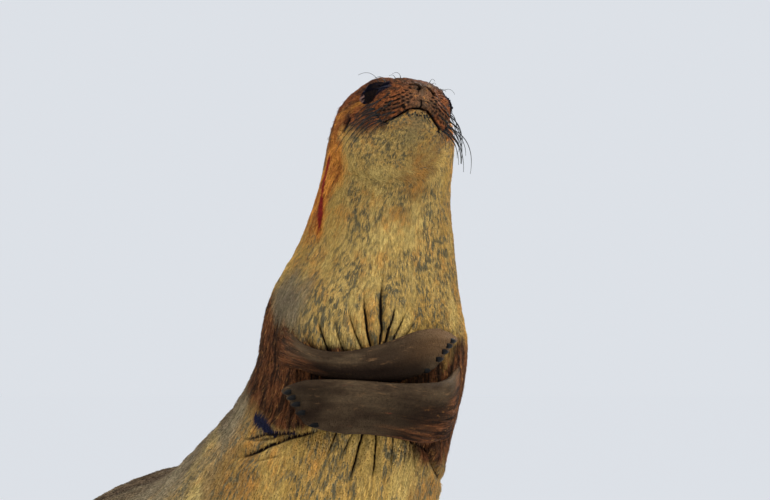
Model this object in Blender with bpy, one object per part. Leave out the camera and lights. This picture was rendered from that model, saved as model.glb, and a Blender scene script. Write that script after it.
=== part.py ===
"""A young southern elephant seal, life size, reared up with its foreflippers folded on its chest.

Metres, +Z up. The belly lies on the floor at z = 0, the hind end trails along +Y, and the chest
rises and faces -Y. +X is the seal's left. The body is one loft along its spine, parted by thin
cuts; the flippers are flat lofts; the jaw, the eye sockets and the flipper roots are cut from it.
"""

import math

import bmesh
import bpy
import numpy as np

GAP = 0.0003  # clearance between neighbouring solids
CENTRE_SHIFT = (0.036, -0.716, 0.0)  # moves the whole seal over the middle of its own outline

BODY_COLUMNS = 36  # facets round the body

EYE_RADIUS = 0.030
EYE_ANGLE = 104.5  # round the head from the throat's midline
EYE_SHARE = 0.66  # of the way from the eyes to the pads
EYE_DEPTH = 0.019  # centre of the ball below the face

MOUTH_DROP = 0.044  # mouth line below the middle of the muzzle
MOUTH_BACK = 0.018  # corners of the mouth behind the middle of the whisker pads
MOUTH_FALL = 22.0  # degrees that the mouth line falls away to each side

CLAW_RADIUS = 0.0042
CLAW_SHARE = 0.955  # of the flipper's length, where its claws start
CLAW_ACROSS = (0.46, 0.22, -0.03, -0.32, -0.70)  # place of each claw: 1 is the leading edge
CLAW_SINK = 0.0015  # below the digit's face
CLAW_OVERHANG = 0.004  # beyond the digit's end

# swellings of the head: station, share of the way to the next, angle from the throat's midline,
# reach along the head, reach round it in degrees, height
SWELLINGS = (
    ("whisker pad", "pads", 0.20, 66, 0.032, 26, 0.009),
    ("lip", "pads", 0.30, 45, 0.030, 20, 0.004),
    ("cheek", "ears", 0.60, 74, 0.050, 30, 0.005),
    ("brow", "eyes", 0.05, 142, 0.034, 18, 0.008),
    ("temple", "ears", 0.00, 117, 0.060, 26, 0.0085),
    ("chin", "pads", -0.20, 8, 0.030, 30, 0.004),
)

# middle line of a foreflipper on the body: share of its length, distance along the spine, angle
RIGHT_FLIPPER_PATH = (
    (0.00, 1.704, -92),
    (0.16, 1.684, -66),
    (0.34, 1.661, -38),
    (0.50, 1.656, -17),
    (0.66, 1.676, 4),
    (0.83, 1.702, 28),
    (1.00, 1.703, 59),
)
LEFT_FLIPPER_PATH = (
    (0.00, 1.648, 92),
    (0.15, 1.632, 67),
    (0.31, 1.613, 43),
    (0.46, 1.603, 24),
    (0.62, 1.595, 2),
    (0.80, 1.574, -25),
    (1.00, 1.540, -59),
)
# share of the length, half width, height of the face above the body, height of the rim
RIGHT_FLIPPER_FORM = (
    (0.00, 0.060, -0.034, -0.040),
    (0.16, 0.052, -0.006, -0.014),
    (0.25, 0.043, 0.014, -0.002),
    (0.34, 0.034, 0.024, 0.006),
    (0.50, 0.032, 0.028, 0.010),
    (0.66, 0.038, 0.026, 0.010),
    (0.83, 0.048, 0.022, 0.010),
    (1.00, 0.044, 0.017, 0.008),
)
LEFT_FLIPPER_FORM = (
    (0.00, 0.062, -0.034, -0.040),
    (0.15, 0.058, -0.004, -0.014),
    (0.24, 0.052, 0.020, 0.000),
    (0.31, 0.047, 0.034, 0.010),
    (0.46, 0.043, 0.044, 0.021),
    (0.62, 0.041, 0.042, 0.021),
    (0.80, 0.045, 0.034, 0.016),
    (1.00, 0.040, 0.021, 0.010),
)
FOREFLIPPER_SLANT = 0.16  # how much shorter the trailing digit is, as a share of the length
FOREFLIPPER_ROUNDING = 0.12  # how much its corners are rounded off, as a share of the length
FLIPPER_SINK = 0.004  # back of a foreflipper below the chest before it is cut to fit

HIND_ROOT = (0.052, 1.335, 0.086)
HIND_LENGTH = 0.365
HIND_SPLAY = 15.0  # degrees outwards
HIND_DROP = 7.0  # degrees downwards
HIND_ROLL = 24.0  # outer edge down
# share of the length, half width, half thickness
HIND_FORM = (
    (0.00, 0.040, 0.036),
    (0.25, 0.046, 0.030),
    (0.55, 0.066, 0.020),
    (0.80, 0.090, 0.013),
    (1.00, 0.104, 0.008),
)
HIND_NOTCH = 0.17  # middle digits shorter than the outer ones by this share

TAIL_ROOT = (0.0, 1.395, 0.110)
TAIL_LENGTH = 0.105
TAIL_DROP = 22.0
TAIL_FORM = ((0.00, 0.026, 0.018), (0.5, 0.022, 0.013), (1.00, 0.013, 0.006))

# where the body is parted: from the tail end forwards
BODY_PARTS = (
    ("hips", ("rump end", 0.0), ("loin", 0.5), 9),
    ("abdomen", ("loin", 0.5), ("waist", 0.2), 16),
    ("chest", ("waist", 0.2), ("neck base", 0.1), 10),
    ("neck", ("neck base", 0.1), ("nape", 0.0), 9),
)
HEAD_START = ("nape", 0.0)
HEAD_ROWS = 20

COLOURS = {
    "hips": ((0.30, 0.27, 0.17, 1), 0.75),
    "abdomen": ((0.32, 0.28, 0.16, 1), 0.75),
    "chest": ((0.31, 0.26, 0.14, 1), 0.75),
    "neck": ((0.29, 0.24, 0.12, 1), 0.75),
    "head": ((0.22, 0.15, 0.09, 1), 0.7),
    "jaw": ((0.19, 0.14, 0.09, 1), 0.7),
    "tail": ((0.20, 0.17, 0.12, 1), 0.7),
    "foreflipper": ((0.12, 0.09, 0.06, 1), 0.65),
    "hind_flipper": ((0.13, 0.11, 0.09, 1), 0.65),
    "eye": ((0.006, 0.006, 0.007, 1), 0.05),
    "claw": ((0.012, 0.011, 0.010, 1), 0.35),
}

# ---- the body: stations along the spine, from the tail to the nose -------------------------
# place on the body: spine point (x, y, z), half width, depth to the back, depth to the belly,
# twist of the belly's midline towards -X in degrees, then the squareness of the section above
# and below (2 is an ellipse)
STATIONS = (
    ("rump end", (0.000, 1.425, 0.082), 0.052, 0.036, 0.050, 0, 2.0, 2.0),
    ("tail root", (0.000, 1.380, 0.088), 0.088, 0.062, 0.074, 0, 2.0, 2.0),
    ("hips", (-0.005, 1.240, 0.112), 0.132, 0.100, 0.112, 0, 2.1, 2.1),
    ("loin", (-0.015, 1.020, 0.160), 0.192, 0.152, 0.172, 0, 2.2, 2.2),
    ("flank", (-0.026, 0.770, 0.212), 0.240, 0.196, 0.226, 2, 2.25, 2.3),
    ("belly", (-0.034, 0.520, 0.250), 0.266, 0.212, 0.268, 5, 2.25, 2.3),
    ("bend", (-0.034, 0.325, 0.288), 0.272, 0.212, 0.306, 10, 2.25, 2.3),
    ("paunch", (-0.030, 0.146, 0.400), 0.260, 0.206, 0.290, 16, 2.25, 2.25),
    ("waist", (-0.016, 0.038, 0.545), 0.228, 0.196, 0.226, 22, 2.25, 2.2),
    ("axilla", (0.006, 0.006, 0.665), 0.219, 0.188, 0.190, 26, 2.25, 2.2),
    ("shoulder", (0.014, -0.004, 0.777), 0.211, 0.176, 0.176, 27, 2.2, 2.2),
    ("neck base", (0.028, -0.015, 0.882), 0.176, 0.156, 0.156, 26, 2.2, 2.2),
    ("neck", (0.035, -0.028, 0.987), 0.150, 0.138, 0.138, 24, 2.2, 2.2),
    ("throat", (0.040, -0.038, 1.070), 0.137, 0.130, 0.128, 21, 2.2, 2.2),
    ("nape", (0.033, -0.068, 1.146), 0.132, 0.118, 0.120, 18, 2.05, 2.2),
    ("ears", (0.008, -0.115, 1.189), 0.114, 0.095, 0.108, 17, 1.8, 2.1),
    ("eyes", (-0.006, -0.166, 1.214), 0.097, 0.075, 0.093, 17, 1.85, 2.1),
    ("pads", (-0.0175, -0.2145, 1.235), 0.079, 0.050, 0.072, 17, 2.1, 2.4),
    ("lips", (-0.0255, -0.2430, 1.247), 0.063, 0.036, 0.058, 17, 2.2, 2.4),
    ("nose", (-0.0285, -0.2530, 1.2505), 0.044, 0.023, 0.043, 17, 2.1, 2.2),
)
NOSE_DOME = 0.011  # how far the rounded nose stands beyond the last station
NAMES = [row[0] for row in STATIONS]


def natural_spline(knots, values, at):
    """Values of the natural cubic spline through (knots, values), one column per quantity."""
    h = np.diff(knots)[:, None]
    slope = np.diff(values, axis=0) / h
    n = len(knots)
    system = np.eye(n)
    right = np.zeros_like(values)
    for i in range(1, n - 1):
        system[i, i - 1 : i + 2] = h[i - 1, 0], 2 * (h[i - 1, 0] + h[i, 0]), h[i, 0]
        right[i] = 6 * (slope[i] - slope[i - 1])
    bend = np.linalg.solve(system, right)
    k = np.clip(np.searchsorted(knots, at) - 1, 0, n - 2)
    left, over = (at - knots[k])[:, None], (knots[k + 1] - at)[:, None]
    width = h[k]
    return (
        (bend[k] * over**3 + bend[k + 1] * left**3) / (6 * width)
        + (values[k] / width - bend[k] * width / 6) * over
        + (values[k + 1] / width - bend[k + 1] * width / 6) * left
    )


SPINE = np.array([row[1] for row in STATIONS], float)
SIZES = np.array([row[2:] for row in STATIONS], float)
LENGTHS = np.concatenate([[0], np.cumsum(np.linalg.norm(np.diff(SPINE, axis=0), axis=1))])


def along(name, share=0.0):
    """Distance along the spine of a station, or of a point that share of the way to the next."""
    i = NAMES.index(name)
    return LENGTHS[i] if share == 0 else LENGTHS[i] + share * (LENGTHS[i + 1] - LENGTHS[i])


def unit(v):
    return v / np.linalg.norm(v, axis=-1, keepdims=True)


def spine_frame(s):
    """Centre, forward, left and back directions, and the section's sizes at distances s."""
    s = np.asarray(s, float)
    centre = natural_spline(LENGTHS, SPINE, s)
    step = 0.002
    lo, hi = np.clip(s - step, 0, LENGTHS[-1]), np.clip(s + step, 0, LENGTHS[-1])
    forward = unit(natural_spline(LENGTHS, SPINE, hi) - natural_spline(LENGTHS, SPINE, lo))
    sizes = natural_spline(LENGTHS, SIZES, s)
    left = unit(np.array([1.0, 0, 0]) - forward[:, :1] * forward)
    back = np.cross(forward, left)
    turn = np.radians(sizes[:, 3:4])
    turned_left = left * np.cos(turn) - back * np.sin(turn)
    turned_back = back * np.cos(turn) + left * np.sin(turn)
    return centre, forward, turned_left, turned_back, np.delete(sizes, 3, axis=1)


def power(x, exponent):
    return np.sign(x) * np.abs(x) ** exponent


def body_point(s, angle):
    """Points on the body. angle is 0 on the belly's midline and grows towards the left side."""
    s, angle = np.broadcast_arrays(np.asarray(s, float), np.asarray(angle, float))
    shape = s.shape
    centre, _, left, back, size = spine_frame(s.ravel())
    a = angle.ravel()
    upper = np.cos(a) < 0
    exponent = 2 / np.where(upper, size[:, 3], size[:, 4])
    side = power(np.sin(a), exponent)
    rise = -power(np.cos(a), exponent)
    depth = np.where(upper, size[:, 1], size[:, 2])
    points = centre + left * (side * size[:, 0])[:, None] + back * (rise * depth)[:, None]
    return points.reshape(*shape, 3)


def swelling(s, angle):
    """Height of the head's swellings at distance s and angle (radians), same on both sides."""
    total = np.zeros(np.broadcast(s, angle).shape)
    degrees = np.degrees(np.arctan2(np.sin(angle), np.cos(angle)))
    for _, station, share, at, reach, spread, height in SWELLINGS:
        along_part = np.exp(-(((s - along(station, share)) / reach) ** 2))
        total += height * along_part * np.exp(-(((np.abs(degrees) - at) / spread) ** 2))
    return total


def skin_point(s, angle):
    """body_point with the head's swellings added, away from the spine."""
    points = body_point(s, angle)
    centre = spine_frame(np.ravel(s))[0].reshape(*np.shape(s), 3)
    return points + unit(points - centre) * swelling(s, angle)[..., None]


def skin_normal(s, angle):
    """Outward normals of the body at distances s and angles."""
    ds, da = 0.004, 0.02
    along_skin = body_point(np.minimum(s + ds, LENGTHS[-1]), angle) - body_point(s - ds, angle)
    round_skin = body_point(s, angle + da) - body_point(s, angle - da)
    return unit(np.cross(round_skin, along_skin))


# ---- meshes --------------------------------------------------------------------------------
for leftover in list(bpy.data.objects):
    bpy.data.objects.remove(leftover, do_unlink=True)


def make_object(name, vertices, faces):
    mesh = bpy.data.meshes.new(name)
    mesh.from_pydata([tuple(map(float, v)) for v in vertices], [], faces)
    bm = bmesh.new()
    bm.from_mesh(mesh)
    bmesh.ops.remove_doubles(bm, verts=bm.verts, dist=1e-6)
    bmesh.ops.recalc_face_normals(bm, faces=bm.faces)
    bmesh.ops.triangulate(bm, faces=bm.faces)
    bm.to_mesh(mesh)
    bm.free()
    obj = bpy.data.objects.new(name, mesh)
    bpy.context.scene.collection.objects.link(obj)
    return obj


def tube(name, grid):
    """A closed solid from rings of points, with a fan at each end."""
    rows, columns = grid.shape[:2]
    vertices = list(grid.reshape(-1, 3)) + [grid[0].mean(axis=0), grid[-1].mean(axis=0)]
    faces = []
    for i in range(rows - 1):
        for j in range(columns):
            k = (j + 1) % columns
            faces.append((i * columns + j, i * columns + k, (i + 1) * columns + k, (i + 1) * columns + j))
    first, last = rows * columns, rows * columns + 1
    for j in range(columns):
        k = (j + 1) % columns
        faces.append((first, k, j))
        faces.append((last, (rows - 1) * columns + j, (rows - 1) * columns + k))
    return make_object(name, vertices, faces)


def pillow(name, front, back):
    """A closed flat solid from two sheets of points that share their rim."""
    rows, columns = front.shape[:2]
    vertices = list(front.reshape(-1, 3)) + list(back.reshape(-1, 3))
    below = rows * columns
    faces = []
    for i in range(rows - 1):
        for j in range(columns - 1):
            a, b = i * columns + j, (i + 1) * columns + j
            faces.append((a, b, b + 1, a + 1))
            faces.append((a + below, a + 1 + below, b + 1 + below, b + below))
    root = [j for j in range(columns)] + [j + below for j in reversed(range(columns))]
    faces.append(tuple(root))
    return make_object(name, vertices, faces)


def lay_on_floor(points):
    points = points.copy()
    points[..., 2] = np.maximum(points[..., 2], 0.0)
    return points


def cutter_of(obj, growth):
    """A hidden copy of a solid, grown along its normals."""
    copy = bpy.data.objects.new(obj.name + "_cutter", obj.data.copy())
    bpy.context.scene.collection.objects.link(copy)
    for vertex, normal in zip(copy.data.vertices, [v.normal.copy() for v in copy.data.vertices]):
        vertex.co += normal * growth
    copy.hide_render = True
    copy.display_type = "WIRE"
    return copy


def apply_cut(obj, cutter, operation="DIFFERENCE"):
    cut = obj.modifiers.new("cut", "BOOLEAN")
    cut.operation = operation
    cut.solver = "EXACT"
    cut.object = cutter
    bpy.context.view_layer.update()
    result = bpy.data.meshes.new_from_object(obj.evaluated_get(bpy.context.evaluated_depsgraph_get()))
    obj.modifiers.remove(cut)
    old = obj.data
    obj.data = result
    bpy.data.meshes.remove(old)


def keep_largest(obj):
    """Drops stray crumbs left by a cut and merges doubled points."""
    bm = bmesh.new()
    bm.from_mesh(obj.data)
    bmesh.ops.remove_doubles(bm, verts=bm.verts, dist=1e-5)
    bmesh.ops.dissolve_degenerate(bm, edges=bm.edges, dist=1e-5)
    unseen = set(bm.verts)
    islands = []
    while unseen:
        stack = [unseen.pop()]
        island = []
        while stack:
            vertex = stack.pop()
            island.append(vertex)
            for edge in vertex.link_edges:
                other = edge.other_vert(vertex)
                if other in unseen:
                    unseen.remove(other)
                    stack.append(other)
        islands.append(island)
    islands.sort(key=len)
    for island in islands[:-1]:
        bmesh.ops.delete(bm, geom=island, context="VERTS")
    bmesh.ops.triangulate(bm, faces=bm.faces)
    bm.to_mesh(obj.data)
    bm.free()


def drop(objects):
    for obj in objects:
        bpy.data.objects.remove(obj, do_unlink=True)


def roofed_box(name, apex, axes, halves, fall, grow=0.0):
    """A box under a ridge: apex is the middle of the ridge, which falls away along axes[0]."""
    side, forward, up = axes
    wide, long, deep = (value + grow for value in halves)
    lift = grow / math.cos(math.radians(fall))
    drop = wide * math.tan(math.radians(fall))
    outline = ((-wide, -deep), (wide, -deep), (wide, lift - drop), (0.0, lift), (-wide, lift - drop))
    points = [apex + side * x + up * z + forward * y for y in (-long, long) for x, z in outline]
    faces = [(0, 1, 2, 3, 4), (9, 8, 7, 6, 5)]
    faces += [(k, (k + 1) % 5, (k + 1) % 5 + 5, k + 5) for k in range(5)]
    return make_object(name, points, faces)


def sphere(name, centre, radius, rows=9, columns=14):
    polar = np.linspace(0, math.pi, rows + 1)[1:-1, None]
    turn = np.linspace(0, 2 * math.pi, columns, endpoint=False)[None, :]
    grid = np.stack([np.sin(polar) * np.cos(turn), np.sin(polar) * np.sin(turn), np.cos(polar) + 0 * turn], -1)
    obj = tube(name, grid * radius + centre)
    for vertex in obj.data.vertices:
        offset = np.array(vertex.co) - centre
        vertex.co = tuple(centre + unit(offset) * radius)
    return obj


# ---- trunk, neck and head ------------------------------------------------------------------
def body_rows(start, end, rows):
    s = np.linspace(start, end, rows)
    angle = np.linspace(0, 2 * math.pi, BODY_COLUMNS, endpoint=False)
    s, angle = np.meshgrid(s, angle, indexing="ij")
    return lay_on_floor(skin_point(s, angle))


solids = {}
for part_name, start, end, rows in BODY_PARTS:
    start_s = along(*start) + (0 if part_name == "hips" else GAP / 2)
    solids[part_name] = tube(part_name, body_rows(start_s, along(*end) - GAP / 2, rows))
head_rows = body_rows(along(*HEAD_START) + GAP / 2, LENGTHS[-1], HEAD_ROWS)
nose_centre, nose_forward = (value[0] for value in spine_frame([LENGTHS[-1]])[:2])
dome_rings = [
    nose_centre
    + (head_rows[-1] - nose_centre) * math.cos(math.radians(lift))
    + nose_forward * NOSE_DOME * math.sin(math.radians(lift))
    for lift in (28, 54, 76)
]
head_rows = np.concatenate([head_rows, np.array(dome_rings)])
solids["head"] = tube("head", head_rows)

pads_centre, pads_forward, pads_left, pads_back, _ = [
    value[0] for value in spine_frame([along("pads")])
]
jaw_reach = 0.12
jaw_apex = pads_centre - pads_back * MOUTH_DROP + pads_forward * (jaw_reach - MOUTH_BACK)
jaw_axes = (pads_left, pads_forward, pads_back)
jaw_halves = (2 * jaw_reach, jaw_reach, 2 * jaw_reach)
jaw_box = roofed_box("jaw_box", jaw_apex, jaw_axes, jaw_halves, MOUTH_FALL)
jaw_gap_box = roofed_box("jaw_gap_box", jaw_apex, jaw_axes, jaw_halves, MOUTH_FALL, GAP)
solids["jaw"] = bpy.data.objects.new("jaw", solids["head"].data.copy())
bpy.context.scene.collection.objects.link(solids["jaw"])
apply_cut(solids["jaw"], jaw_box, "INTERSECT")
apply_cut(solids["head"], jaw_gap_box)
drop([jaw_box, jaw_gap_box])

eye_s = along("eyes", EYE_SHARE)
for side_name, side in (("left", 1), ("right", -1)):
    eye_angle = np.array([math.radians(EYE_ANGLE) * side])
    surface = skin_point(np.array([eye_s]), eye_angle)[0]
    normal = skin_normal(np.array([eye_s]), eye_angle)[0]
    eye_centre = surface - normal * EYE_DEPTH
    solids["eye_" + side_name] = sphere("eye_" + side_name, eye_centre, EYE_RADIUS)
    socket = sphere("socket", eye_centre, EYE_RADIUS + 2 * GAP)
    apply_cut(solids["head"], socket)
    drop([socket])


# ---- foreflippers --------------------------------------------------------------------------
def interpolate(table, share, column):
    knots = np.array([row[0] for row in table], float)
    values = np.array([[row[column]] for row in table], float)
    flat = natural_spline(knots, values, np.clip(np.ravel(share), 0, 1))
    return flat.reshape(np.shape(share))


def digit_ridge(across):
    """0 between digits and 1 along the middle of each of the five."""
    return 0.5 - 0.5 * np.cos(2 * math.pi * (across + 1) / 2 * 5)


def clawed_ridge(across):
    """The same on a foreflipper, whose digits end at their claws."""
    places = (-1,) + CLAW_ACROSS[::-1] + (1,)
    return 0.5 + 0.5 * np.cos(2 * math.pi * np.interp(across, places, (-0.4, 0, 1, 2, 3, 4, 4.4)))


def foreflipper_sheet(path, form, share, across, height):
    """Points over the body: height is 1 on the flipper's face, 0 at its rim, -1 on its back."""
    corner = np.clip((np.abs(across) - 0.5) / 0.5, 0, 1) ** 2
    reach = 1 - FOREFLIPPER_SLANT * (1 - across) / 2 - FOREFLIPPER_ROUNDING * corner
    reach = reach - 0.010 * (1 - clawed_ridge(across))
    place = share * reach
    s = interpolate(path, place, 1) + across * interpolate(form, place, 1)
    angle = np.radians(interpolate(path, place, 2))
    face, rim = interpolate(form, place, 2), interpolate(form, place, 3)
    ridge = 1 + 0.08 * (clawed_ridge(across) - 1) * np.clip(place * 2 - 1, 0, 1)
    sunk = np.minimum(-FLIPPER_SINK, rim - 2 * FLIPPER_SINK)
    front_lift = rim + (np.maximum(face * ridge, rim + FLIPPER_SINK) - rim) * height
    lift = np.where(height > 0, front_lift, rim + (rim - sunk) * height)
    return body_point(s, angle) + skin_normal(s, angle) * lift[..., None]


def rounded(across, share):
    edge = (1 - np.abs(across) ** 2.6) ** (1 / 2.6)
    tip = (1 - np.clip((share - 0.80) / 0.20, 0, 1) ** 2.4) ** (1 / 2.4)
    return edge * tip


def claw(name, base, reach, up):
    """A tapering, slightly hooked horn that runs along reach."""
    side = unit(np.cross(reach, up))
    turn = np.linspace(0, 2 * math.pi, 6, endpoint=False)
    rings = []
    for t, size in ((0.0, 0.85), (0.35, 1.0), (0.65, 0.85), (0.88, 0.5), (1.0, 0.15)):
        middle = base + reach * t - up * 0.003 * t * t
        ring = np.cos(turn)[:, None] * side * size + np.sin(turn)[:, None] * up * size * 0.8
        rings.append(middle + ring * CLAW_RADIUS)
    return tube(name, np.array(rings))


FOREFLIPPER_ROWS, FOREFLIPPER_COLUMNS = 10, 16
share, across = np.meshgrid(
    np.linspace(0, 1, FOREFLIPPER_ROWS) ** 0.9,
    np.linspace(-1, 1, FOREFLIPPER_COLUMNS),
    indexing="ij",
)
trunk = [solids[key] for key in ("abdomen", "chest", "neck")]
FLIPPERS = (
    ("right", RIGHT_FLIPPER_PATH, RIGHT_FLIPPER_FORM),
    ("left", LEFT_FLIPPER_PATH, LEFT_FLIPPER_FORM),
)
claws = {}
for side_name, path, form in FLIPPERS:
    name = "foreflipper_" + side_name
    height = rounded(across, share)
    front = foreflipper_sheet(path, form, share, across, height)
    back = foreflipper_sheet(path, form, share, across, -height)
    solids[name] = pillow(name, front, back)
    for digit, claw_across in enumerate(CLAW_ACROSS):
        v = np.array([claw_across])
        ends = []
        for u in (CLAW_SHARE, 0.99):
            u = np.array([u])
            ends.append(foreflipper_sheet(path, form, u, v, rounded(v, u))[0])
        rim = foreflipper_sheet(path, form, np.array([0.99]), v, np.array([0.0]))[0]
        along_claw = unit(ends[1] - ends[0])
        up = ends[1] - rim
        up = unit(up - along_claw * np.dot(up, along_claw))
        base = ends[0] - up * CLAW_SINK
        tip = ends[1] + along_claw * CLAW_OVERHANG
        claw_name = "claw_%s_%d" % (side_name, digit + 1)
        claws[claw_name] = claw(claw_name, base, tip - base, up)

for side_name, _, _ in FLIPPERS:
    flipper = solids["foreflipper_" + side_name]
    for other in trunk + [c for key, c in claws.items()]:
        cutter = cutter_of(other, GAP)
        apply_cut(flipper, cutter)
        drop([cutter])
    keep_largest(flipper)
cutter = cutter_of(solids["foreflipper_left"], GAP)
apply_cut(solids["foreflipper_right"], cutter)
drop([cutter])
keep_largest(solids["foreflipper_right"])
solids.update(claws)


# ---- hind flippers and tail ----------------------------------------------------------------
def direction_of(splay, fall):
    a, b = math.radians(splay), math.radians(fall)
    return np.array([math.sin(a) * math.cos(b), math.cos(a) * math.cos(b), -math.sin(b)])


def flat_limb(name, root, forward, roll, length, form, notch, rows, columns, digits):
    """A flattened limb from its root, widening or narrowing by its form."""
    share, across = np.meshgrid(np.linspace(0, 1, rows), np.linspace(-1, 1, columns), indexing="ij")
    level = unit(np.cross(forward, np.array([0, 0, 1.0])))
    upright = np.cross(level, forward)
    turn = math.radians(roll)
    side = level * math.cos(turn) - upright * math.sin(turn)
    up = upright * math.cos(turn) + level * math.sin(turn)
    reach = 1 - notch * (1 - np.abs(across) ** 1.6)
    if digits:
        reach = reach - 0.02 * (1 - digit_ridge(across))
    place = share * reach
    width, thickness = interpolate(form, place, 1), interpolate(form, place, 2)
    if digits:
        thickness = thickness * (1 + 0.25 * (digit_ridge(across) - 0.5) * np.clip(place * 2 - 0.7, 0, 1))
    lift = (thickness * rounded(across, share))[..., None] * up
    middle = root + forward * (place * length)[..., None] + side * (across * width)[..., None]
    return pillow(name, lay_on_floor(middle + lift), lay_on_floor(middle - lift))


hips_cutter = cutter_of(solids["hips"], GAP)
solids["tail"] = flat_limb(
    "tail", np.array(TAIL_ROOT), direction_of(0, TAIL_DROP), 0, TAIL_LENGTH, TAIL_FORM, 0.0, 6, 7, False
)
apply_cut(solids["tail"], hips_cutter)
keep_largest(solids["tail"])
tail_cutter = cutter_of(solids["tail"], GAP)
for side_name, side in (("left", 1), ("right", -1)):
    name = "hind_flipper_" + side_name
    root = np.array(HIND_ROOT) * (side, 1, 1)
    forward = direction_of(HIND_SPLAY * side, HIND_DROP)
    solids[name] = flat_limb(
        name, root, forward, HIND_ROLL * side, HIND_LENGTH, HIND_FORM, HIND_NOTCH, 10, 16, True
    )
    apply_cut(solids[name], hips_cutter)
    apply_cut(solids[name], tail_cutter)
    keep_largest(solids[name])
drop([hips_cutter, tail_cutter])

# ---- materials and placing -----------------------------------------------------------------
for name, obj in solids.items():
    keep_largest(obj)
    kind = next(key for key in COLOURS if name.startswith(key))
    colour, roughness = COLOURS[kind]
    material = bpy.data.materials.new(name + "_surface")
    material.use_nodes = True
    shader = material.node_tree.nodes["Principled BSDF"]
    shader.inputs["Base Color"].default_value = colour
    shader.inputs["Roughness"].default_value = roughness
    obj.data.materials.clear()
    obj.data.materials.append(material)
    for vertex in obj.data.vertices:
        vertex.co = tuple(vertex.co[i] + CENTRE_SHIFT[i] for i in range(3))
    for polygon in obj.data.polygons:
        polygon.use_smooth = kind not in ("claw",)

points = np.array([v.co for obj in solids.values() for v in obj.data.vertices])
triangles = sum(len(obj.data.polygons) for obj in solids.values())
print("solids", len(solids), "triangles", triangles)
print("low", points.min(axis=0), "high", points.max(axis=0))
for name, obj in solids.items():
    print("  ", name, len(obj.data.polygons))
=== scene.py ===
import math

import bmesh
import bpy
import numpy as np
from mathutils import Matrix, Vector
from mathutils.kdtree import KDTree


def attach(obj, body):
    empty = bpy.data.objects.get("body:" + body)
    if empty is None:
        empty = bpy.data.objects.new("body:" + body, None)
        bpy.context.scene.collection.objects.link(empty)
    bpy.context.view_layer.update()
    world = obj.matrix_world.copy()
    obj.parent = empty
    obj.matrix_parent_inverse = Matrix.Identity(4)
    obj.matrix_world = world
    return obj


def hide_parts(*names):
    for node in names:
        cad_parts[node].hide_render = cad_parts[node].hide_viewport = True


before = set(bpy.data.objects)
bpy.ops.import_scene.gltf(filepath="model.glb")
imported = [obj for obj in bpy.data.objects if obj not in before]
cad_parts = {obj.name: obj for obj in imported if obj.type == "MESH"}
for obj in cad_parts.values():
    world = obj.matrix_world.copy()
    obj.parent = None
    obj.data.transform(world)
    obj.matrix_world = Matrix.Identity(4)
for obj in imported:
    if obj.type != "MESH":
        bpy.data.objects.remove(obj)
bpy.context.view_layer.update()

centreShift = np.array([0.036, -0.716, 0.0])
coatDepth = 0.003

# place, spine point, half width, depth to the back and to the belly, twist, squareness above, below
stations = (
    ("rump end", (0.000, 1.425, 0.082), 0.052, 0.036, 0.050, 0, 2.0, 2.0),
    ("tail root", (0.000, 1.380, 0.088), 0.088, 0.062, 0.074, 0, 2.0, 2.0),
    ("hips", (-0.005, 1.240, 0.112), 0.132, 0.100, 0.112, 0, 2.1, 2.1),
    ("loin", (-0.015, 1.020, 0.160), 0.192, 0.152, 0.172, 0, 2.2, 2.2),
    ("flank", (-0.026, 0.770, 0.212), 0.240, 0.196, 0.226, 2, 2.25, 2.3),
    ("belly", (-0.034, 0.520, 0.250), 0.266, 0.212, 0.268, 5, 2.25, 2.3),
    ("bend", (-0.034, 0.325, 0.288), 0.272, 0.212, 0.306, 10, 2.25, 2.3),
    ("paunch", (-0.030, 0.146, 0.400), 0.260, 0.206, 0.290, 16, 2.25, 2.25),
    ("waist", (-0.016, 0.038, 0.545), 0.228, 0.196, 0.226, 22, 2.25, 2.2),
    ("axilla", (0.006, 0.006, 0.665), 0.219, 0.188, 0.190, 26, 2.25, 2.2),
    ("shoulder", (0.014, -0.004, 0.777), 0.211, 0.176, 0.176, 27, 2.2, 2.2),
    ("neck base", (0.028, -0.015, 0.882), 0.176, 0.156, 0.156, 26, 2.2, 2.2),
    ("neck", (0.035, -0.028, 0.987), 0.150, 0.138, 0.138, 24, 2.2, 2.2),
    ("throat", (0.040, -0.038, 1.070), 0.137, 0.130, 0.128, 21, 2.2, 2.2),
    ("nape", (0.033, -0.068, 1.146), 0.132, 0.118, 0.120, 18, 2.05, 2.2),
    ("ears", (0.008, -0.115, 1.189), 0.114, 0.095, 0.108, 17, 1.8, 2.1),
    ("eyes", (-0.006, -0.166, 1.214), 0.097, 0.075, 0.093, 17, 1.85, 2.1),
    ("pads", (-0.0175, -0.2145, 1.235), 0.079, 0.050, 0.072, 17, 2.1, 2.4),
    ("lips", (-0.0255, -0.2430, 1.247), 0.063, 0.036, 0.058, 17, 2.2, 2.4),
    ("nose", (-0.0285, -0.2530, 1.2505), 0.044, 0.023, 0.043, 17, 2.1, 2.2),
)
# station, share of the way to the next, degrees round, reach along and round, height
swellings = (
    ("pads", 0.20, 66, 0.032, 26, 0.009),
    ("pads", 0.30, 45, 0.030, 20, 0.004),
    ("ears", 0.60, 74, 0.050, 30, 0.005),
    ("eyes", 0.05, 142, 0.034, 18, 0.008),
    ("ears", 0.00, 117, 0.060, 26, 0.0085),
    ("pads", -0.20, 8, 0.030, 30, 0.004),
)
noseDome = 0.011


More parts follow.
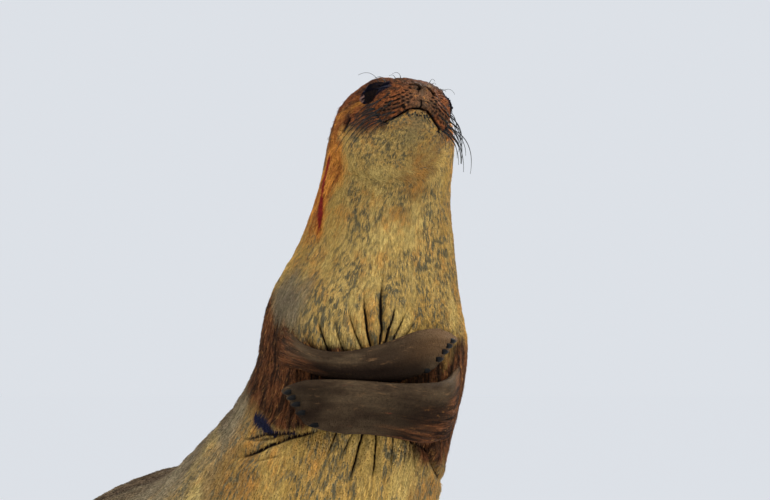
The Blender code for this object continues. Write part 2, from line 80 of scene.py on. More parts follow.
def naturalSpline(knots, values, at):
    h = np.diff(knots)[:, None]
    slope = np.diff(values, axis=0) / h
    n = len(knots)
    system = np.eye(n)
    right = np.zeros_like(values)
    for i in range(1, n - 1):
        system[i, i - 1 : i + 2] = h[i - 1, 0], 2 * (h[i - 1, 0] + h[i, 0]), h[i, 0]
        right[i] = 6 * (slope[i] - slope[i - 1])
    bend = np.linalg.solve(system, right)
    k = np.clip(np.searchsorted(knots, at) - 1, 0, n - 2)
    left, over = (at - knots[k])[:, None], (knots[k + 1] - at)[:, None]
    width = h[k]
    return (
        (bend[k] * over**3 + bend[k + 1] * left**3) / (6 * width)
        + (values[k] / width - bend[k] * width / 6) * over
        + (values[k + 1] / width - bend[k + 1] * width / 6) * left
    )


def unit(v):
    return v / np.maximum(np.linalg.norm(v, axis=-1, keepdims=True), 1e-12)


def smoothstep(low, high, x):
    t = np.clip((x - low) / (high - low), 0, 1)
    return t * t * (3 - 2 * t)


stationNames = [row[0] for row in stations]
spine = np.array([row[1] for row in stations], float)
sizes = np.array([row[2:] for row in stations], float)
lengths = np.concatenate([[0], np.cumsum(np.linalg.norm(np.diff(spine, axis=0), axis=1))])
bodyLength = lengths[-1]


def along(name, share=0.0):
    i = stationNames.index(name)
    return lengths[i] if share == 0 else lengths[i] + share * (lengths[i + 1] - lengths[i])


def spineFrame(s):
    s = np.asarray(s, float)
    centre = naturalSpline(lengths, spine, s)
    lo, hi = np.clip(s - 0.002, 0, bodyLength), np.clip(s + 0.002, 0, bodyLength)
    forward = unit(naturalSpline(lengths, spine, hi) - naturalSpline(lengths, spine, lo))
    size = naturalSpline(lengths, sizes, s)
    left = unit(np.array([1.0, 0, 0]) - forward[:, :1] * forward)
    back = np.cross(forward, left)
    turn = np.radians(size[:, 3:4])
    turnedLeft = left * np.cos(turn) - back * np.sin(turn)
    turnedBack = back * np.cos(turn) + left * np.sin(turn)
    return centre, forward, turnedLeft, turnedBack, np.delete(size, 3, axis=1)


def power(x, exponent):
    return np.sign(x) * np.abs(x) ** exponent


def sectionOffsets(size, a):
    upper = np.cos(a) < 0
    exponent = 2 / np.where(upper, size[:, 3], size[:, 4])
    side = power(np.sin(a), exponent) * size[:, 0]
    rise = -power(np.cos(a), exponent) * np.where(upper, size[:, 1], size[:, 2])
    return side, rise


def bodyPoint(s, angle):
    s, angle = np.broadcast_arrays(np.asarray(s, float), np.asarray(angle, float))
    centre, _, left, back, size = spineFrame(s.ravel())
    side, rise = sectionOffsets(size, angle.ravel())
    return (centre + left * side[:, None] + back * rise[:, None]).reshape(*s.shape, 3)


def bodyNormal(s, angle):
    ds, da = 0.004, 0.02
    alongSkin = bodyPoint(np.minimum(s + ds, bodyLength), angle) - bodyPoint(s - ds, angle)
    roundSkin = bodyPoint(s, angle + da) - bodyPoint(s, angle - da)
    return unit(np.cross(roundSkin, alongSkin))


def skinPoint(s, angle):
    points = bodyPoint(s, angle)
    centre = spineFrame(np.ravel(s))[0].reshape(*np.shape(s), 3)
    total = np.zeros(np.shape(s))
    degrees = np.degrees(np.arctan2(np.sin(angle), np.cos(angle)))
    for station, share, at, reach, spread, height in swellings:
        near = np.exp(-(((s - along(station, share)) / reach) ** 2))
        total += height * near * np.exp(-(((np.abs(degrees) - at) / spread) ** 2))
    return points + unit(points - centre) * total[..., None]


def treeOf(points):
    tree = KDTree(len(points))
    for i, p in enumerate(points):
        tree.insert(p, i)
    tree.balance()
    return tree


print("loft ready")


# the skin as a grid in (s, angle), finer towards the chest and the head
hindRows = np.concatenate([np.arange(0, 0.10, 0.012), np.linspace(0.10, 1.28, 56)])
chestRows = np.concatenate(
    [
        np.linspace(1.29, 1.46, 16, endpoint=False),
        np.linspace(1.46, 1.86, 60, endpoint=False),
        np.linspace(1.86, 2.12, 26, endpoint=False),
    ]
)
headRows = np.linspace(2.12, bodyLength, 50)
domeLifts = np.linspace(0, 90, 10)[1:-1]
coarse, fine = 80, 160
columnWarp = 0.42


def ringColumns(s, columns):
    phi = np.linspace(-math.pi, math.pi, columns + 1)
    warp = columnWarp * smoothstep(0.9, 1.4, s) * (1 - smoothstep(1.95, 2.2, s))
    return phi - warp * np.sin(phi)


rings = [(s, 0.0, coarse) for s in hindRows]
rings += [(s, 0.0, fine) for s in np.concatenate([chestRows, headRows])]
rings += [(bodyLength, lift, fine) for lift in domeLifts]
params, ringStarts = [], [0]
for s, lift, columns in rings:
    angles = ringColumns(s, columns)
    params.append(np.stack([np.full_like(angles, s), angles, np.full_like(angles, lift)], axis=1))
    ringStarts.append(ringStarts[-1] + len(angles))
params.append(np.array([[0.0, 0.0, -90.0], [bodyLength, 0.0, 90.0]]))
params = np.concatenate(params)
rumpCentre, noseCentre = len(params) - 2, len(params) - 1
faces = []
for i in range(len(rings) - 1):
    a, b = ringStarts[i], ringStarts[i + 1]
    n, m = rings[i][2], rings[i + 1][2]
    if n == m:
        faces += [(a + j, a + j + 1, b + j + 1, b + j) for j in range(n)]
    else:
        for j in range(n):
            f = b + 2 * j
            faces += [(a + j, f + 1, f), (a + j, a + j + 1, f + 1), (a + j + 1, f + 2, f + 1)]
faces += [(rumpCentre, ringStarts[0] + j + 1, ringStarts[0] + j) for j in range(coarse)]
faces += [(noseCentre, ringStarts[-2] + j, ringStarts[-2] + j + 1) for j in range(fine)]


def gridPoints(params):
    s, angle, lift = params.T
    points = skinPoint(np.clip(s, 0, bodyLength), angle)
    rise = np.radians(np.clip(lift, 0, 90))
    tip, tipForward = (v[0] for v in spineFrame([bodyLength])[:2])
    domed = tip + (points - tip) * np.cos(rise)[:, None] + tipForward * noseDome * np.sin(rise)[:, None]
    points = np.where((lift > 0)[:, None], domed, points)
    points[lift < 0] = spineFrame([0.0])[0][0]
    return points


# folds of loose skin: points as (s, degrees round the body), depth, half width, deepest share
folds = (
    (((1.722, -44), (1.680, -33)), 0.006, 0.005, 0.8),
    (((1.752, -35), (1.675, -23)), 0.013, 0.005, 0.8),
    (((1.750, -24), (1.675, -14)), 0.008, 0.004, 0.8),
    (((1.780, -18), (1.680, -4)), 0.009, 0.004, 0.8),
    (((1.815, -11), (1.755, -6), (1.685, -1)), 0.015, 0.005, 0.8),
    (((1.862, -2), (1.790, 0), (1.736, 2), (1.690, 1)), 0.017, 0.006, 0.8),
    (((1.812, 9), (1.755, 6), (1.695, 3)), 0.012, 0.005, 0.8),
    (((1.804, 17), (1.705, 6)), 0.010, 0.005, 0.8),
    (((1.778, 23), (1.712, 12)), 0.007, 0.004, 0.8),
    (((1.556, -15), (1.500, -20)), 0.009, 0.004, 0.2),
    (((1.560, -6), (1.503, -13)), 0.008, 0.004, 0.2),
    (((1.566, -2), (1.508, -4), (1.476, -5)), 0.016, 0.006, 0.2),
    (((1.568, 3), (1.520, 5), (1.488, 5)), 0.014, 0.005, 0.2),
    (((1.570, 12), (1.508, 15)), 0.010, 0.004, 0.2),
    (((1.568, 24), (1.540, 28), (1.512, 32)), 0.015, 0.005, 0.2),
    (((1.565, 35), (1.540, 42), (1.512, 54)), 0.015, 0.005, 0.2),
    (((1.425, -76), (1.484, -56), (1.508, -45), (1.545, -20)), 0.018, 0.009, 0.5),
    (((1.455, -78), (1.494, -61), (1.530, -34)), 0.009, 0.005, 0.5),
    (((1.565, 10), (1.561, 22), (1.554, 35), (1.522, 52), (1.490, 76)), 0.011, 0.006, 0.6),
    (((1.470, -70), (1.496, -56), (1.515, -46)), 0.007, 0.004, 0.5),
    (((1.440, -66), (1.470, -52), (1.492, -40)), 0.006, 0.004, 0.6),
    (((2.221, -20), (2.243, 4), (2.246, 30)), 0.0008, 0.004, 0.5),
)


def foldRadius(path):
    return float(np.interp(np.mean([p[0] for p in path]), lengths, sizes[:, 0])) * 0.93


# mouth, nostrils and lip lines in the head's own frame: across, forward, up, in metres
padsCentre, padsForward, padsLeft, padsUp, _ = [v[0] for v in spineFrame([along("pads")])]
headAxes = np.stack([padsLeft, padsForward, padsUp], axis=1)
muzzleShift = 0.005
mouthHalf = (
    (0.000, 0.046, -0.0375), (0.016, 0.044, -0.0400), (0.030, 0.036, -0.0455), (0.042, 0.027, -0.0540),
    (0.054, 0.015, -0.0600), (0.064, 0.000, -0.0625), (0.070, -0.013, -0.0645),
)
# these lines lie on the front of the muzzle, so only across and up are given
muzzleFront = 0.05
nostrils = {
    1: ((0.0090, 0.0185), (0.0115, 0.0165), (0.0165, 0.0115), (0.0235, 0.004), (0.027, -0.002)),
    -1: ((0.0265, 0.0140), (0.0180, 0.0160), (0.0085, 0.0145), (0.0045, 0.009), (0.009, 0.003)),
}
philtrum = ((0.0, -0.0195), (0.001, -0.028), (0.0, -0.0370))
lipCross = ((-0.016, -0.0225), (0.0, -0.0195), (0.016, -0.0215))


def smoothPath(points, count):
    points = np.array(points, float)
    knots = np.concatenate([[0], np.cumsum(np.linalg.norm(np.diff(points, axis=0), axis=1))])
    return naturalSpline(knots, points, np.linspace(0, knots[-1], count))


def fromHead(points, side=1):
    points = np.array(points, float) * (side, 1, 1) + (muzzleShift, 0, 0)
    return padsCentre + points @ headAxes.T


class SkinPath:
    # a line laid on the skin: how far a point of the skin is from it, and the share of its length
    def __init__(self, points):
        self.points, self.tree = points, treeOf(points)

    def reach(self, points, normals, limit=0.03):
        gap, share = np.full(len(points), 1.0), np.zeros(len(points))
        near = np.linalg.norm(points - self.points.mean(0), axis=1)
        span = np.linalg.norm(self.points - self.points.mean(0), axis=1).max() + limit
        for i in np.nonzero(near < span)[0]:
            _, index, distance = self.tree.find(points[i])
            if distance < limit:
                offset = points[i] - self.points[index]
                offset = offset - normals[i] * (normals[i] @ offset)
                gap[i], share[i] = np.linalg.norm(offset), index / (len(self.points) - 1)
        return gap, share


coarseTree = treeOf(gridPoints(params[params[:, 0] > along("ears")]))
insideHead = spineFrame([along("pads", -0.3)])[0][0]


def layOnHead(points):
    # slides a path outwards or inwards until it lies on the skin
    laid = []
    for p in points:
        spot = np.array(coarseTree.find(p)[0])
        outward = unit(spot - insideHead)
        laid.append(p + outward * ((spot - p) @ outward))
    return np.array(laid)


def frontLine(points, count, side=1):
    line = smoothPath([(across, muzzleFront, up) for across, up in points], count)
    return SkinPath(layOnHead(fromHead(line, side)))


halfMouth = smoothPath(mouthHalf, 160)
mouthPath = SkinPath(layOnHead(np.concatenate([fromHead(halfMouth, -1)[::-1], fromHead(halfMouth)])))
nostrilPaths = [frontLine(nostrils[side], 90, side) for side in (1, -1)]
philtrumPath, lipCrossPath = frontLine(philtrum, 40), frontLine(lipCross, 60)

eyeRadius, eyeDepth = 0.030, 0.019
eyes = []
for side in (1, -1):
    eyeS, eyeAngle = np.array([along("eyes", 0.66)]), np.array([math.radians(104.5) * side])
    outward = bodyNormal(eyeS, eyeAngle)[0]
    centre = skinPoint(eyeS, eyeAngle)[0] - outward * eyeDepth
    # the slit of the lids runs forwards and inwards, a little upwards
    long = headAxes @ np.array([-0.45 * side, 0.88, -0.02])
    long = unit(long - outward * (long @ outward))
    high = unit(np.cross(outward, long))
    eyes.append((side, centre, outward, long, high if high @ padsUp > 0 else -high))
eyeSlit = {"half": 0.0290, "tall": 0.0042}
eyePatch = {"ahead": 0.007, "front": 0.048, "rear": 0.047, "tall": 0.0305, "lower": 0.0005}

# finer cells near folds, lips, nostrils and lids
mesh = bpy.data.meshes.new("bodyGrid")
mesh.from_pydata([tuple(p) for p in params], [], faces)
bm = bmesh.new()
bm.from_mesh(mesh)


def foldSamples(path, count=40):
    path = np.array(path, float)
    t = np.linspace(0, len(path) - 1, count)
    s = np.interp(t, range(len(path)), path[:, 0])
    angle = np.radians(np.interp(t, range(len(path)), path[:, 1]))
    return gridPoints(np.stack([s, angle, 0 * s], axis=1))


foldTree = treeOf(np.concatenate([foldSamples(path) for path, _, _, _ in folds]))
lipTree = treeOf(np.concatenate([path.points for path in (mouthPath, *nostrilPaths, philtrumPath)]))


def refine(wanted):
    bm.faces.ensure_lookup_table()
    centres = np.array([f.calc_center_median() for f in bm.faces])
    places = gridPoints(centres)
    chosen = [bm.faces[i] for i in np.nonzero(wanted(centres, places))[0]]
    edges = list({edge for face in chosen for edge in face.edges})
    bmesh.ops.subdivide_edges(bm, edges=edges, cuts=1, use_grid_fill=True)


def within(tree, places, reach, candidates):
    close = np.zeros(len(places), bool)
    for i in np.nonzero(candidates)[0]:
        close[i] = tree.find(places[i])[2] < reach
    return close


def nearEyes(places, low, high):
    close = np.zeros(len(places), bool)
    for _, centre, outward, long, up in eyes:
        offset = places - centre
        ring = np.hypot(offset @ long / 0.0275, offset @ up / 0.0145)
        close |= (ring > low) & (ring < high) & (offset @ outward > 0)
    return close


def armpit(centres):
    s, degrees = centres[:, 0], np.degrees(centres[:, 1])
    right = (np.abs(s - 1.60) < 0.10) & (degrees < -42) & (degrees > -86)
    return right | (np.abs(s - 1.60) < 0.10) & (degrees > 33) & (degrees < 82)


def coarsePass(centres, places):
    s, degrees, lift = centres[:, 0], np.degrees(centres[:, 1]), centres[:, 2]
    muzzle = (s > along("pads", -0.1)) & ((np.abs(degrees) < 125) | (lift > 0)) & (lift < 70)
    folded = within(foldTree, places, 0.013, (s > 1.40) & (s < 1.90) | (s > 2.20) & (s < 2.26))
    return muzzle | folded | armpit(centres) | nearEyes(places, 0, 2.4)


def finePass(centres, places):
    s = centres[:, 0]
    folded = within(foldTree, places, 0.0042, (s > 1.40) & (s < 1.90))
    return folded | within(lipTree, places, 0.005, s > along("eyes")) | nearEyes(places, 0.72, 1.3)


refine(coarsePass)
refine(finePass)
bmesh.ops.triangulate(bm, faces=[f for f in bm.faces if len(f.verts) > 4])
params = np.array([v.co for v in bm.verts])
faceList = [[v.index for v in f.verts] for f in bm.faces]
bm.free()
bpy.data.meshes.remove(mesh)
print("grid", len(params), "points", sum(len(f) - 2 for f in faceList), "triangles")

base = gridPoints(params)
skinS, skinAngle = params[:, 0], params[:, 1]


def edgesOf(faceList):
    pairs = [(f[k - 1], f[k]) for f in faceList for k in range(len(f))]
    return np.unique(np.sort(np.array(pairs), axis=1), axis=0)


def neighbourMean(edges, values):
    total, count = np.zeros(values.shape), np.zeros(len(values))
    for a, b in (edges.T, edges.T[::-1]):
        np.add.at(total, a, values[b])
        np.add.at(count, a, 1)
    return total / np.maximum(count, 1).reshape(-1, *[1] * (values.ndim - 1))


# the throat runs smoothly from the chin to the neck
gridEdges = edgesOf(faceList)
throat = smoothstep(1.98, 2.06, skinS) * (1 - smoothstep(2.235, 2.275, skinS))
throat *= 1 - smoothstep(62, 88, np.abs(np.degrees(skinAngle)))
for _ in range(80):
    base += (neighbourMean(gridEdges, base) - base) * (0.6 * throat)[:, None]


def meshNormals(points, faceList):
    mesh = bpy.data.meshes.new("normals")
    mesh.from_pydata([tuple(p) for p in points], [], faceList)
    normals = np.zeros(len(points) * 3)
    mesh.vertex_normals.foreach_get("vector", normals)
    bpy.data.meshes.remove(mesh)
    return normals.reshape(-1, 3)


normals = meshNormals(base, faceList)
seamVertices = np.abs(np.abs(skinAngle) - math.pi) < 1e-6
seamS = np.clip(skinS[seamVertices], 0.005, bodyLength)
normals[seamVertices] = bodyNormal(seamS, skinAngle[seamVertices])


def wave(x, y, seed, scale):
    # smooth irregular value from -1 to 1, the same on every run
    rng = np.random.default_rng(seed)
    total = np.zeros(np.shape(x))
    for _ in range(7):
        heading, phase = rng.uniform(0, 2 * math.pi, 2)
        pitch = rng.uniform(0.6, 1.7) * 2 * math.pi / scale
        total += np.sin((x * math.cos(heading) + y * math.sin(heading)) * pitch + phase)
    return total / 3.2


def nearPath(x, y, points):
    # distance to a run of points and the share of its length reached
    best, share = np.full(np.shape(x), 9.0), np.zeros(np.shape(x))
    points = np.array(points, float)
    pieces = np.linalg.norm(np.diff(points, axis=0), axis=1)
    starts = np.concatenate([[0], np.cumsum(pieces)]) / pieces.sum()
    for k in range(len(pieces)):
        a, d = points[k], points[k + 1] - points[k]
        t = np.clip(((x - a[0]) * d[0] + (y - a[1]) * d[1]) / (d @ d), 0, 1)
        gap = np.hypot(x - a[0] - t * d[0], y - a[1] - t * d[1])
        closer = gap < best
        best = np.where(closer, gap, best)
        share = np.where(closer, starts[k] + t * (starts[k + 1] - starts[k]), share)
    return best, share


def bell(x, centre, width):
    return np.exp(-(((x - centre) / width) ** 2))


creaseShade = np.zeros(len(params))  # painted shade at the bottom of a crease, and how bare of tufts it is


def foldRelief(s, angle):
    relief = np.zeros(len(s))
    for number, (path, depth, width, deepest) in enumerate(folds):
        radius = foldRadius(path)
        wander = 0.0006 * wave(s * 0 + number, s, 50 + number, 0.05)
        line = [(math.radians(p[1]) * radius, p[0]) for p in path]
        gap, share = nearPath(angle * radius + wander, s, line)
        strength = np.where(share < deepest, share / deepest, (1 - share) / (1 - deepest))
        strength = np.sqrt(np.clip(strength, 0, 1)) * (gap < 8 * width)
        # a narrow cleft between two soft rolls
        relief -= depth * strength * (0.50 * bell(gap, 0, 0.45 * width) + 0.50 * bell(gap, 0, 1.6 * width))
        relief += 0.28 * depth * strength * bell(gap, 2.6 * width, 1.4 * width)
        # the bottom of the crease is darkened with painted shade
        dark = bell(gap, 0, 0.0020 + 0.16 * width) * smoothstep(0.15, 0.8, strength) * min(1, depth / 0.012)
        np.maximum(creaseShade, dark, out=creaseShade)
    return relief


def armpitRelief(s, angle):
    degrees, x = np.degrees(angle), angle * 0.195
    relief = np.zeros(len(s))
    right = bell(s, 1.615, 0.085) * bell(degrees, -64, 17)
    left = bell(s, 1.585, 0.075) * bell(degrees, 58, 19)
    slantRight = x + 0.22 * (s - 1.62) - 0.9 * (s - 1.62) ** 2
    slantLeft = x - 0.85 * (s - 1.60)
    for slant, mask in ((slantRight, right), (slantLeft, left)):
        phase = slant / 0.0125 * 2 * math.pi + 2.0 * wave(x, s, 11, 0.09)
        comb = (1 - np.abs(np.sin(phase / 2))) ** 1.6
        fineComb = (1 - np.abs(np.sin(phase * 0.93 + 1.7 * wave(x, s, 12, 0.04)))) ** 1.5
        relief -= mask * (0.0100 * comb + 0.0030 * fineComb)
        # the bottoms of the wrinkles are darkened with painted shade
        np.maximum(creaseShade, 0.95 * mask * comb, out=creaseShade)
    return relief


def bodyRelief(s, angle):
    # folds, wrinkles, rolls and soft hollows of the trunk and neck
    degrees, x = np.degrees(angle), angle * 0.195
    relief = 0.0030 * wave(x, s, 3, 0.33) * smoothstep(0.1, 0.5, s) * (1 - smoothstep(2.0, 2.2, s))
    relief += 0.0008 * wave(x, s, 4, 0.06) * smoothstep(0.1, 0.5, s)
    relief += foldRelief(s, angle) + armpitRelief(s, angle)
    # rolls across the bent back and nape
    overBack = smoothstep(85, 150, np.abs(degrees))
    for seed, pitch, wander, depth, middle, reach in (
        (21, 0.092, 0.020, 0.013, 1.45, 0.20),
        (22, 0.060, 0.012, 0.007, 2.13, 0.06),
    ):
        roll = np.abs(np.sin((s + wander * wave(x, s, seed, 0.4)) * math.pi / pitch))
        fade = 0.6 + 0.4 * wave(x, s, seed + 5, 0.5)
        relief -= depth * (1 - roll) ** 2.4 * overBack * bell(s, middle, reach) * fade
    sideRoll = np.abs(np.sin((s + 0.05 * wave(x, s, 23, 0.6)) * math.pi / 0.17))
    sides = smoothstep(60, 110, np.abs(degrees)) * bell(s, 0.85, 0.45)
    relief -= 0.0045 * (1 - sideRoll) ** 2.2 * sides * (0.6 + 0.4 * wave(x, s, 24, 0.3))
    relief += 0.007 * bell(s, 1.43, 0.05) * bell(degrees, -10, 60)
    # ear slits, their hollows darkened with painted shade
    for side in (-1, 1):
        line = [(math.radians(78 * side) * 0.117, 2.226), (math.radians(75 * side) * 0.117, 2.200)]
        gap, _ = nearPath(angle * 0.117, s, line)
        relief += 0.0022 * bell(gap, 0.010, 0.004) - 0.008 * bell(gap, 0, 0.0045)
        np.maximum(creaseShade, bell(gap, 0, 0.0060), out=creaseShade)
    return relief


whiskerRows = (
    ((0.027, 0.003), (0.062, -0.018), 6),
    ((0.023, -0.008), (0.068, -0.028), 7),
    ((0.022, -0.017), (0.071, -0.036), 7),
    ((0.026, -0.027), (0.070, -0.044), 6),
    ((0.034, -0.037), (0.060, -0.050), 4),
)


def headCoordinates(points):
    across, forward, up = ((points - padsCentre) @ headAxes).T
    return across - muzzleShift * smoothstep(-0.03, 0.03, forward), forward, up


def follicles():
    spots = []
    for row, (start, end, count) in enumerate(whiskerRows):
        for k in range(count):
            t = (k + 0.25 * (row % 2)) / (count - 1)
            dip = 0.004 * math.sin(min(t, 1) * math.pi)
            spots.append((start[0] + t * (end[0] - start[0]), start[1] + t * (end[1] - start[1]) - dip))
    return spots


def headRelief(points, normals):
    across, forward, up = headCoordinates(points)
    aside = np.abs(across)
    front = smoothstep(0.012, 0.034, forward)
    relief = np.zeros(len(points))
    gap, share = mouthPath.reach(points, normals)
    ends = smoothstep(0, 0.10, 0.5 - np.abs(share - 0.5))
    onMouth = mouthPath.points[(share * (len(mouthPath.points) - 1)).astype(int)]
    above = (points - onMouth) @ padsUp > 0
    relief -= 0.0070 * bell(gap, 0, 0.0021) * (0.35 + 0.65 * ends)
    relief += np.where(above, 0.0034, 0.0008) * bell(gap, 0.0075, 0.0045) * ends
    relief -= np.where(above, 0, 0.0020) * bell(gap, 0.004, 0.004) * ends
    # the mouth line, nostrils, lip grooves and follicles are darkened with painted shade
    dark = bell(gap, 0, 0.0029) * (0.6 + 0.4 * ends)
    for path in nostrilPaths:
        gap, share = path.reach(points, normals)
        relief -= 0.0075 * bell(gap, 0, 0.0034) * smoothstep(0, 0.2, 0.58 - np.abs(share - 0.5))
        relief += 0.0018 * bell(gap, 0.0052, 0.0026)
        dark = np.maximum(dark, bell(gap, 0, 0.0040))
    # line, depth, half width, half width and strength of its painted shade
    grooves = (philtrumPath, 0.0034, 0.0017, 0.0026, 1.0), (lipCrossPath, 0.0014, 0.0015, 0.0018, 0.6)
    for path, *form in grooves:
        gap, _ = path.reach(points, normals)
        relief -= form[0] * bell(gap, 0, form[1])
        dark = np.maximum(dark, form[3] * bell(gap, 0, form[2]))
    # the nose is parted by a shallow valley, and the whisker pads stand out on each side
    relief -= 0.0025 * bell(aside, 0, 0.005) * bell(up, 0.006, 0.016) * front
    relief += 0.0035 * bell(aside, 0.040, 0.018) * bell(up, -0.024, 0.016) * smoothstep(0, 0.03, forward)
    for a, u in follicles():
        gap = np.hypot(0.6 * (aside - a), up - u)
        near = (forward > -0.02) & (gap < 0.012)
        relief += np.where(near, 0.0020 * bell(gap, 0, 0.0034) - 0.0024 * bell(gap, 0, 0.0014), 0)
        dark = np.maximum(dark, np.where(near, bell(gap, 0, 0.0027), 0))
    return relief, dark


def shapeLids(points):
    # draws the skin over each eyeball and opens it in an almond, with raised margins
    dark = np.zeros(len(points))
    moved = points.copy()
    for _, centre, outward, long, high in eyes:
        offset = points - centre
        u, v, w = offset @ long, offset @ high, offset @ outward
        near = (np.hypot(u, v) < 0.07) & (w > -0.03)
        tall = eyeSlit["tall"] * (1 - 0.22 * np.clip(u / eyeSlit["half"], -1, 1) ** 2)
        ring = np.sqrt((u / eyeSlit["half"]) ** 2 + (v / tall) ** 2)
        radius = np.linalg.norm(offset, axis=1)
        lid = eyeRadius + 0.0016
        covered = np.maximum(radius, lid + 0.0012 * bell(ring, 1.12, 0.10))
        fall = smoothstep(1.0, 0.86, ring)
        target = np.where(ring < 1.0, covered * (1 - fall) + 0.0235 * fall, covered)
        blend = np.where(ring < 1.0, 1.0, 1 - smoothstep(1.0, 2.1, ring)) * near
        new = centre + offset / radius[:, None] * (radius + (target - radius) * blend)[:, None]
        # fine folds that follow the lids
        pleat = np.abs(np.sin((ring - 1.0) * math.pi / 0.24))
        pleats = 0.00165 * (1 - pleat) ** 1.5 * smoothstep(1.1, 1.3, ring) * smoothstep(2.5, 1.9, ring)
        new -= outward * (pleats * near)[:, None]
        moved = np.where(near[:, None], new, moved)
        ahead = u - eyePatch["ahead"]
        reach = np.where(ahead > 0, eyePatch["front"], eyePatch["rear"])
        tall = eyePatch["tall"] * (1 - 0.35 * np.clip(ahead / reach, 0, 1))
        surround = np.hypot(ahead / reach, (v + eyePatch["lower"]) / tall)
        dark = np.maximum(dark, (1 - smoothstep(0.86, 1.10, surround)) * near)
    return moved, dark


isHead = skinS > along("ears", 0.3)
relief = bodyRelief(skinS, skinAngle) * (1 - smoothstep(0, 30, params[:, 2])) - coatDepth
relief[params[:, 2] < 0] = 0
headLift, headShade = headRelief(base[isHead], normals[isHead])
relief[isHead] += headLift
creaseShade[isHead] = np.maximum(creaseShade[isHead], headShade)
points, eyeDark = shapeLids(base + normals * relief[:, None])
print("relief done")


# foreflippers folded on the chest: share of the length, distance along the spine, degrees round
rightPath = (
    (0.00, 1.704, -92), (0.16, 1.684, -66), (0.34, 1.661, -38), (0.50, 1.656, -17),
    (0.66, 1.676, 4), (0.83, 1.702, 28), (1.00, 1.703, 59),
)
leftPath = (
    (0.00, 1.648, 92), (0.15, 1.632, 67), (0.31, 1.613, 43), (0.46, 1.603, 24),
    (0.62, 1.595, 2), (0.80, 1.574, -25), (1.00, 1.540, -59),
)
# share of the length, half width, height of the face, height of the rim
rightForm = (
    (0.00, 0.060, -0.034, -0.040), (0.16, 0.052, -0.006, -0.014), (0.25, 0.043, 0.014, -0.002),
    (0.34, 0.034, 0.024, 0.006), (0.50, 0.032, 0.028, 0.010), (0.66, 0.038, 0.026, 0.010),
    (0.83, 0.048, 0.022, 0.010), (1.00, 0.044, 0.017, 0.008),
)
leftForm = (
    (0.00, 0.062, -0.034, -0.040), (0.15, 0.058, -0.004, -0.014), (0.24, 0.052, 0.020, 0.000),
    (0.31, 0.047, 0.034, 0.010), (0.46, 0.043, 0.044, 0.021), (0.62, 0.041, 0.042, 0.021),
    (0.80, 0.045, 0.034, 0.016), (1.00, 0.040, 0.021, 0.010),
)
flipperSlant, flipperRounding, flipperSink = 0.16, 0.12, 0.004
clawAcross = (0.46, 0.22, -0.03, -0.32, -0.70)
# degrees sideways, down and rolled; notch is the share by which the middle digits fall short
hindFlipper = {
    "root": (0.052, 1.335, 0.086), "length": 0.365, "splay": 15, "drop": 7, "roll": 24,
    "notch": 0.17, "digits": 1,
}
hindForm = (
    (0.0, 0.040, 0.036), (0.25, 0.046, 0.030), (0.55, 0.066, 0.020),
    (0.80, 0.090, 0.013), (1.0, 0.104, 0.008),
)
tail = {
    "root": (0.0, 1.395, 0.110), "length": 0.105, "splay": 0, "drop": 22, "roll": 0,
    "notch": 0, "digits": 0,
}
tailForm = ((0.0, 0.026, 0.018), (0.5, 0.022, 0.013), (1.0, 0.013, 0.006))


def column(table, at, i):
    table = np.array(table, float)
    flat = naturalSpline(table[:, 0], table[:, i : i + 1], np.clip(np.ravel(at), 0, 1))
    return flat.reshape(np.shape(at))


def digitRidge(across):
    return 0.5 - 0.5 * np.cos(2 * math.pi * (across + 1) / 2 * 5)


def clawedRidge(across):
    # 1 along each digit of a foreflipper, 0 in the webs between
    places = (-1,) + clawAcross[::-1] + (1,)
    return 0.5 + 0.5 * np.cos(2 * math.pi * np.interp(across, places, (-0.4, 0, 1, 2, 3, 4, 4.4)))


def rounded(across, share):
    edge = (1 - np.abs(across) ** 2.6) ** (1 / 2.6)
    return edge * (1 - np.clip((share - 0.80) / 0.20, 0, 1) ** 2.4) ** (1 / 2.4)


def foreflipperSheet(path, form, share, across, height):
    corner = np.clip((np.abs(across) - 0.5) / 0.5, 0, 1) ** 2
    reach = 1 - flipperSlant * (1 - across) / 2 - flipperRounding * corner
    reach = reach - 0.010 * (1 - clawedRidge(across))
    place = share * reach
    s = column(path, place, 1) + across * column(form, place, 1)
    angle = np.radians(column(path, place, 2))
    face, rim = column(form, place, 2), column(form, place, 3)
    ridge = 1 + 0.03 * (clawedRidge(across) - 1) * np.clip(place * 2 - 1, 0, 1)
    sunk = np.minimum(-flipperSink, rim - 2 * flipperSink)
    frontLift = rim + (np.maximum(face * ridge, rim + flipperSink) - rim) * height
    lift = np.where(height > 0, frontLift, rim + (rim - sunk) * height)
    outward = bodyNormal(s.ravel(), angle.ravel()).reshape(*s.shape, 3)
    return bodyPoint(s, angle) + outward * lift[..., None], outward, place


def hindSheet(limb, form, side, share, across, height):
    digits = limb["digits"]
    root = np.array(limb["root"]) * (side, 1, 1)
    splay, drop = math.radians(limb["splay"] * side), math.radians(limb["drop"])
    level = math.cos(drop)
    forward = np.array([math.sin(splay) * level, math.cos(splay) * level, -math.sin(drop)])
    level = unit(np.cross(forward, np.array([0, 0, 1.0])))
    upright = np.cross(level, forward)
    turn = math.radians(limb["roll"] * side)
    sideways = level * math.cos(turn) - upright * math.sin(turn)
    upwards = upright * math.cos(turn) + level * math.sin(turn)
    reach = 1 - limb["notch"] * (1 - np.abs(across) ** 1.6) - digits * 0.02 * (1 - digitRidge(across))
    place = share * reach
    width, thickness = column(form, place, 1), column(form, place, 2)
    ridged = digits * 0.25 * (digitRidge(across) - 0.5) * np.clip(place * 2 - 0.7, 0, 1)
    thickness = thickness * (1 + ridged)
    middle = root + forward * (place * limb["length"])[..., None] + sideways * (across * width)[..., None]
    return middle + upwards * (thickness * height)[..., None], np.broadcast_to(upwards, middle.shape), place


limbs = {}


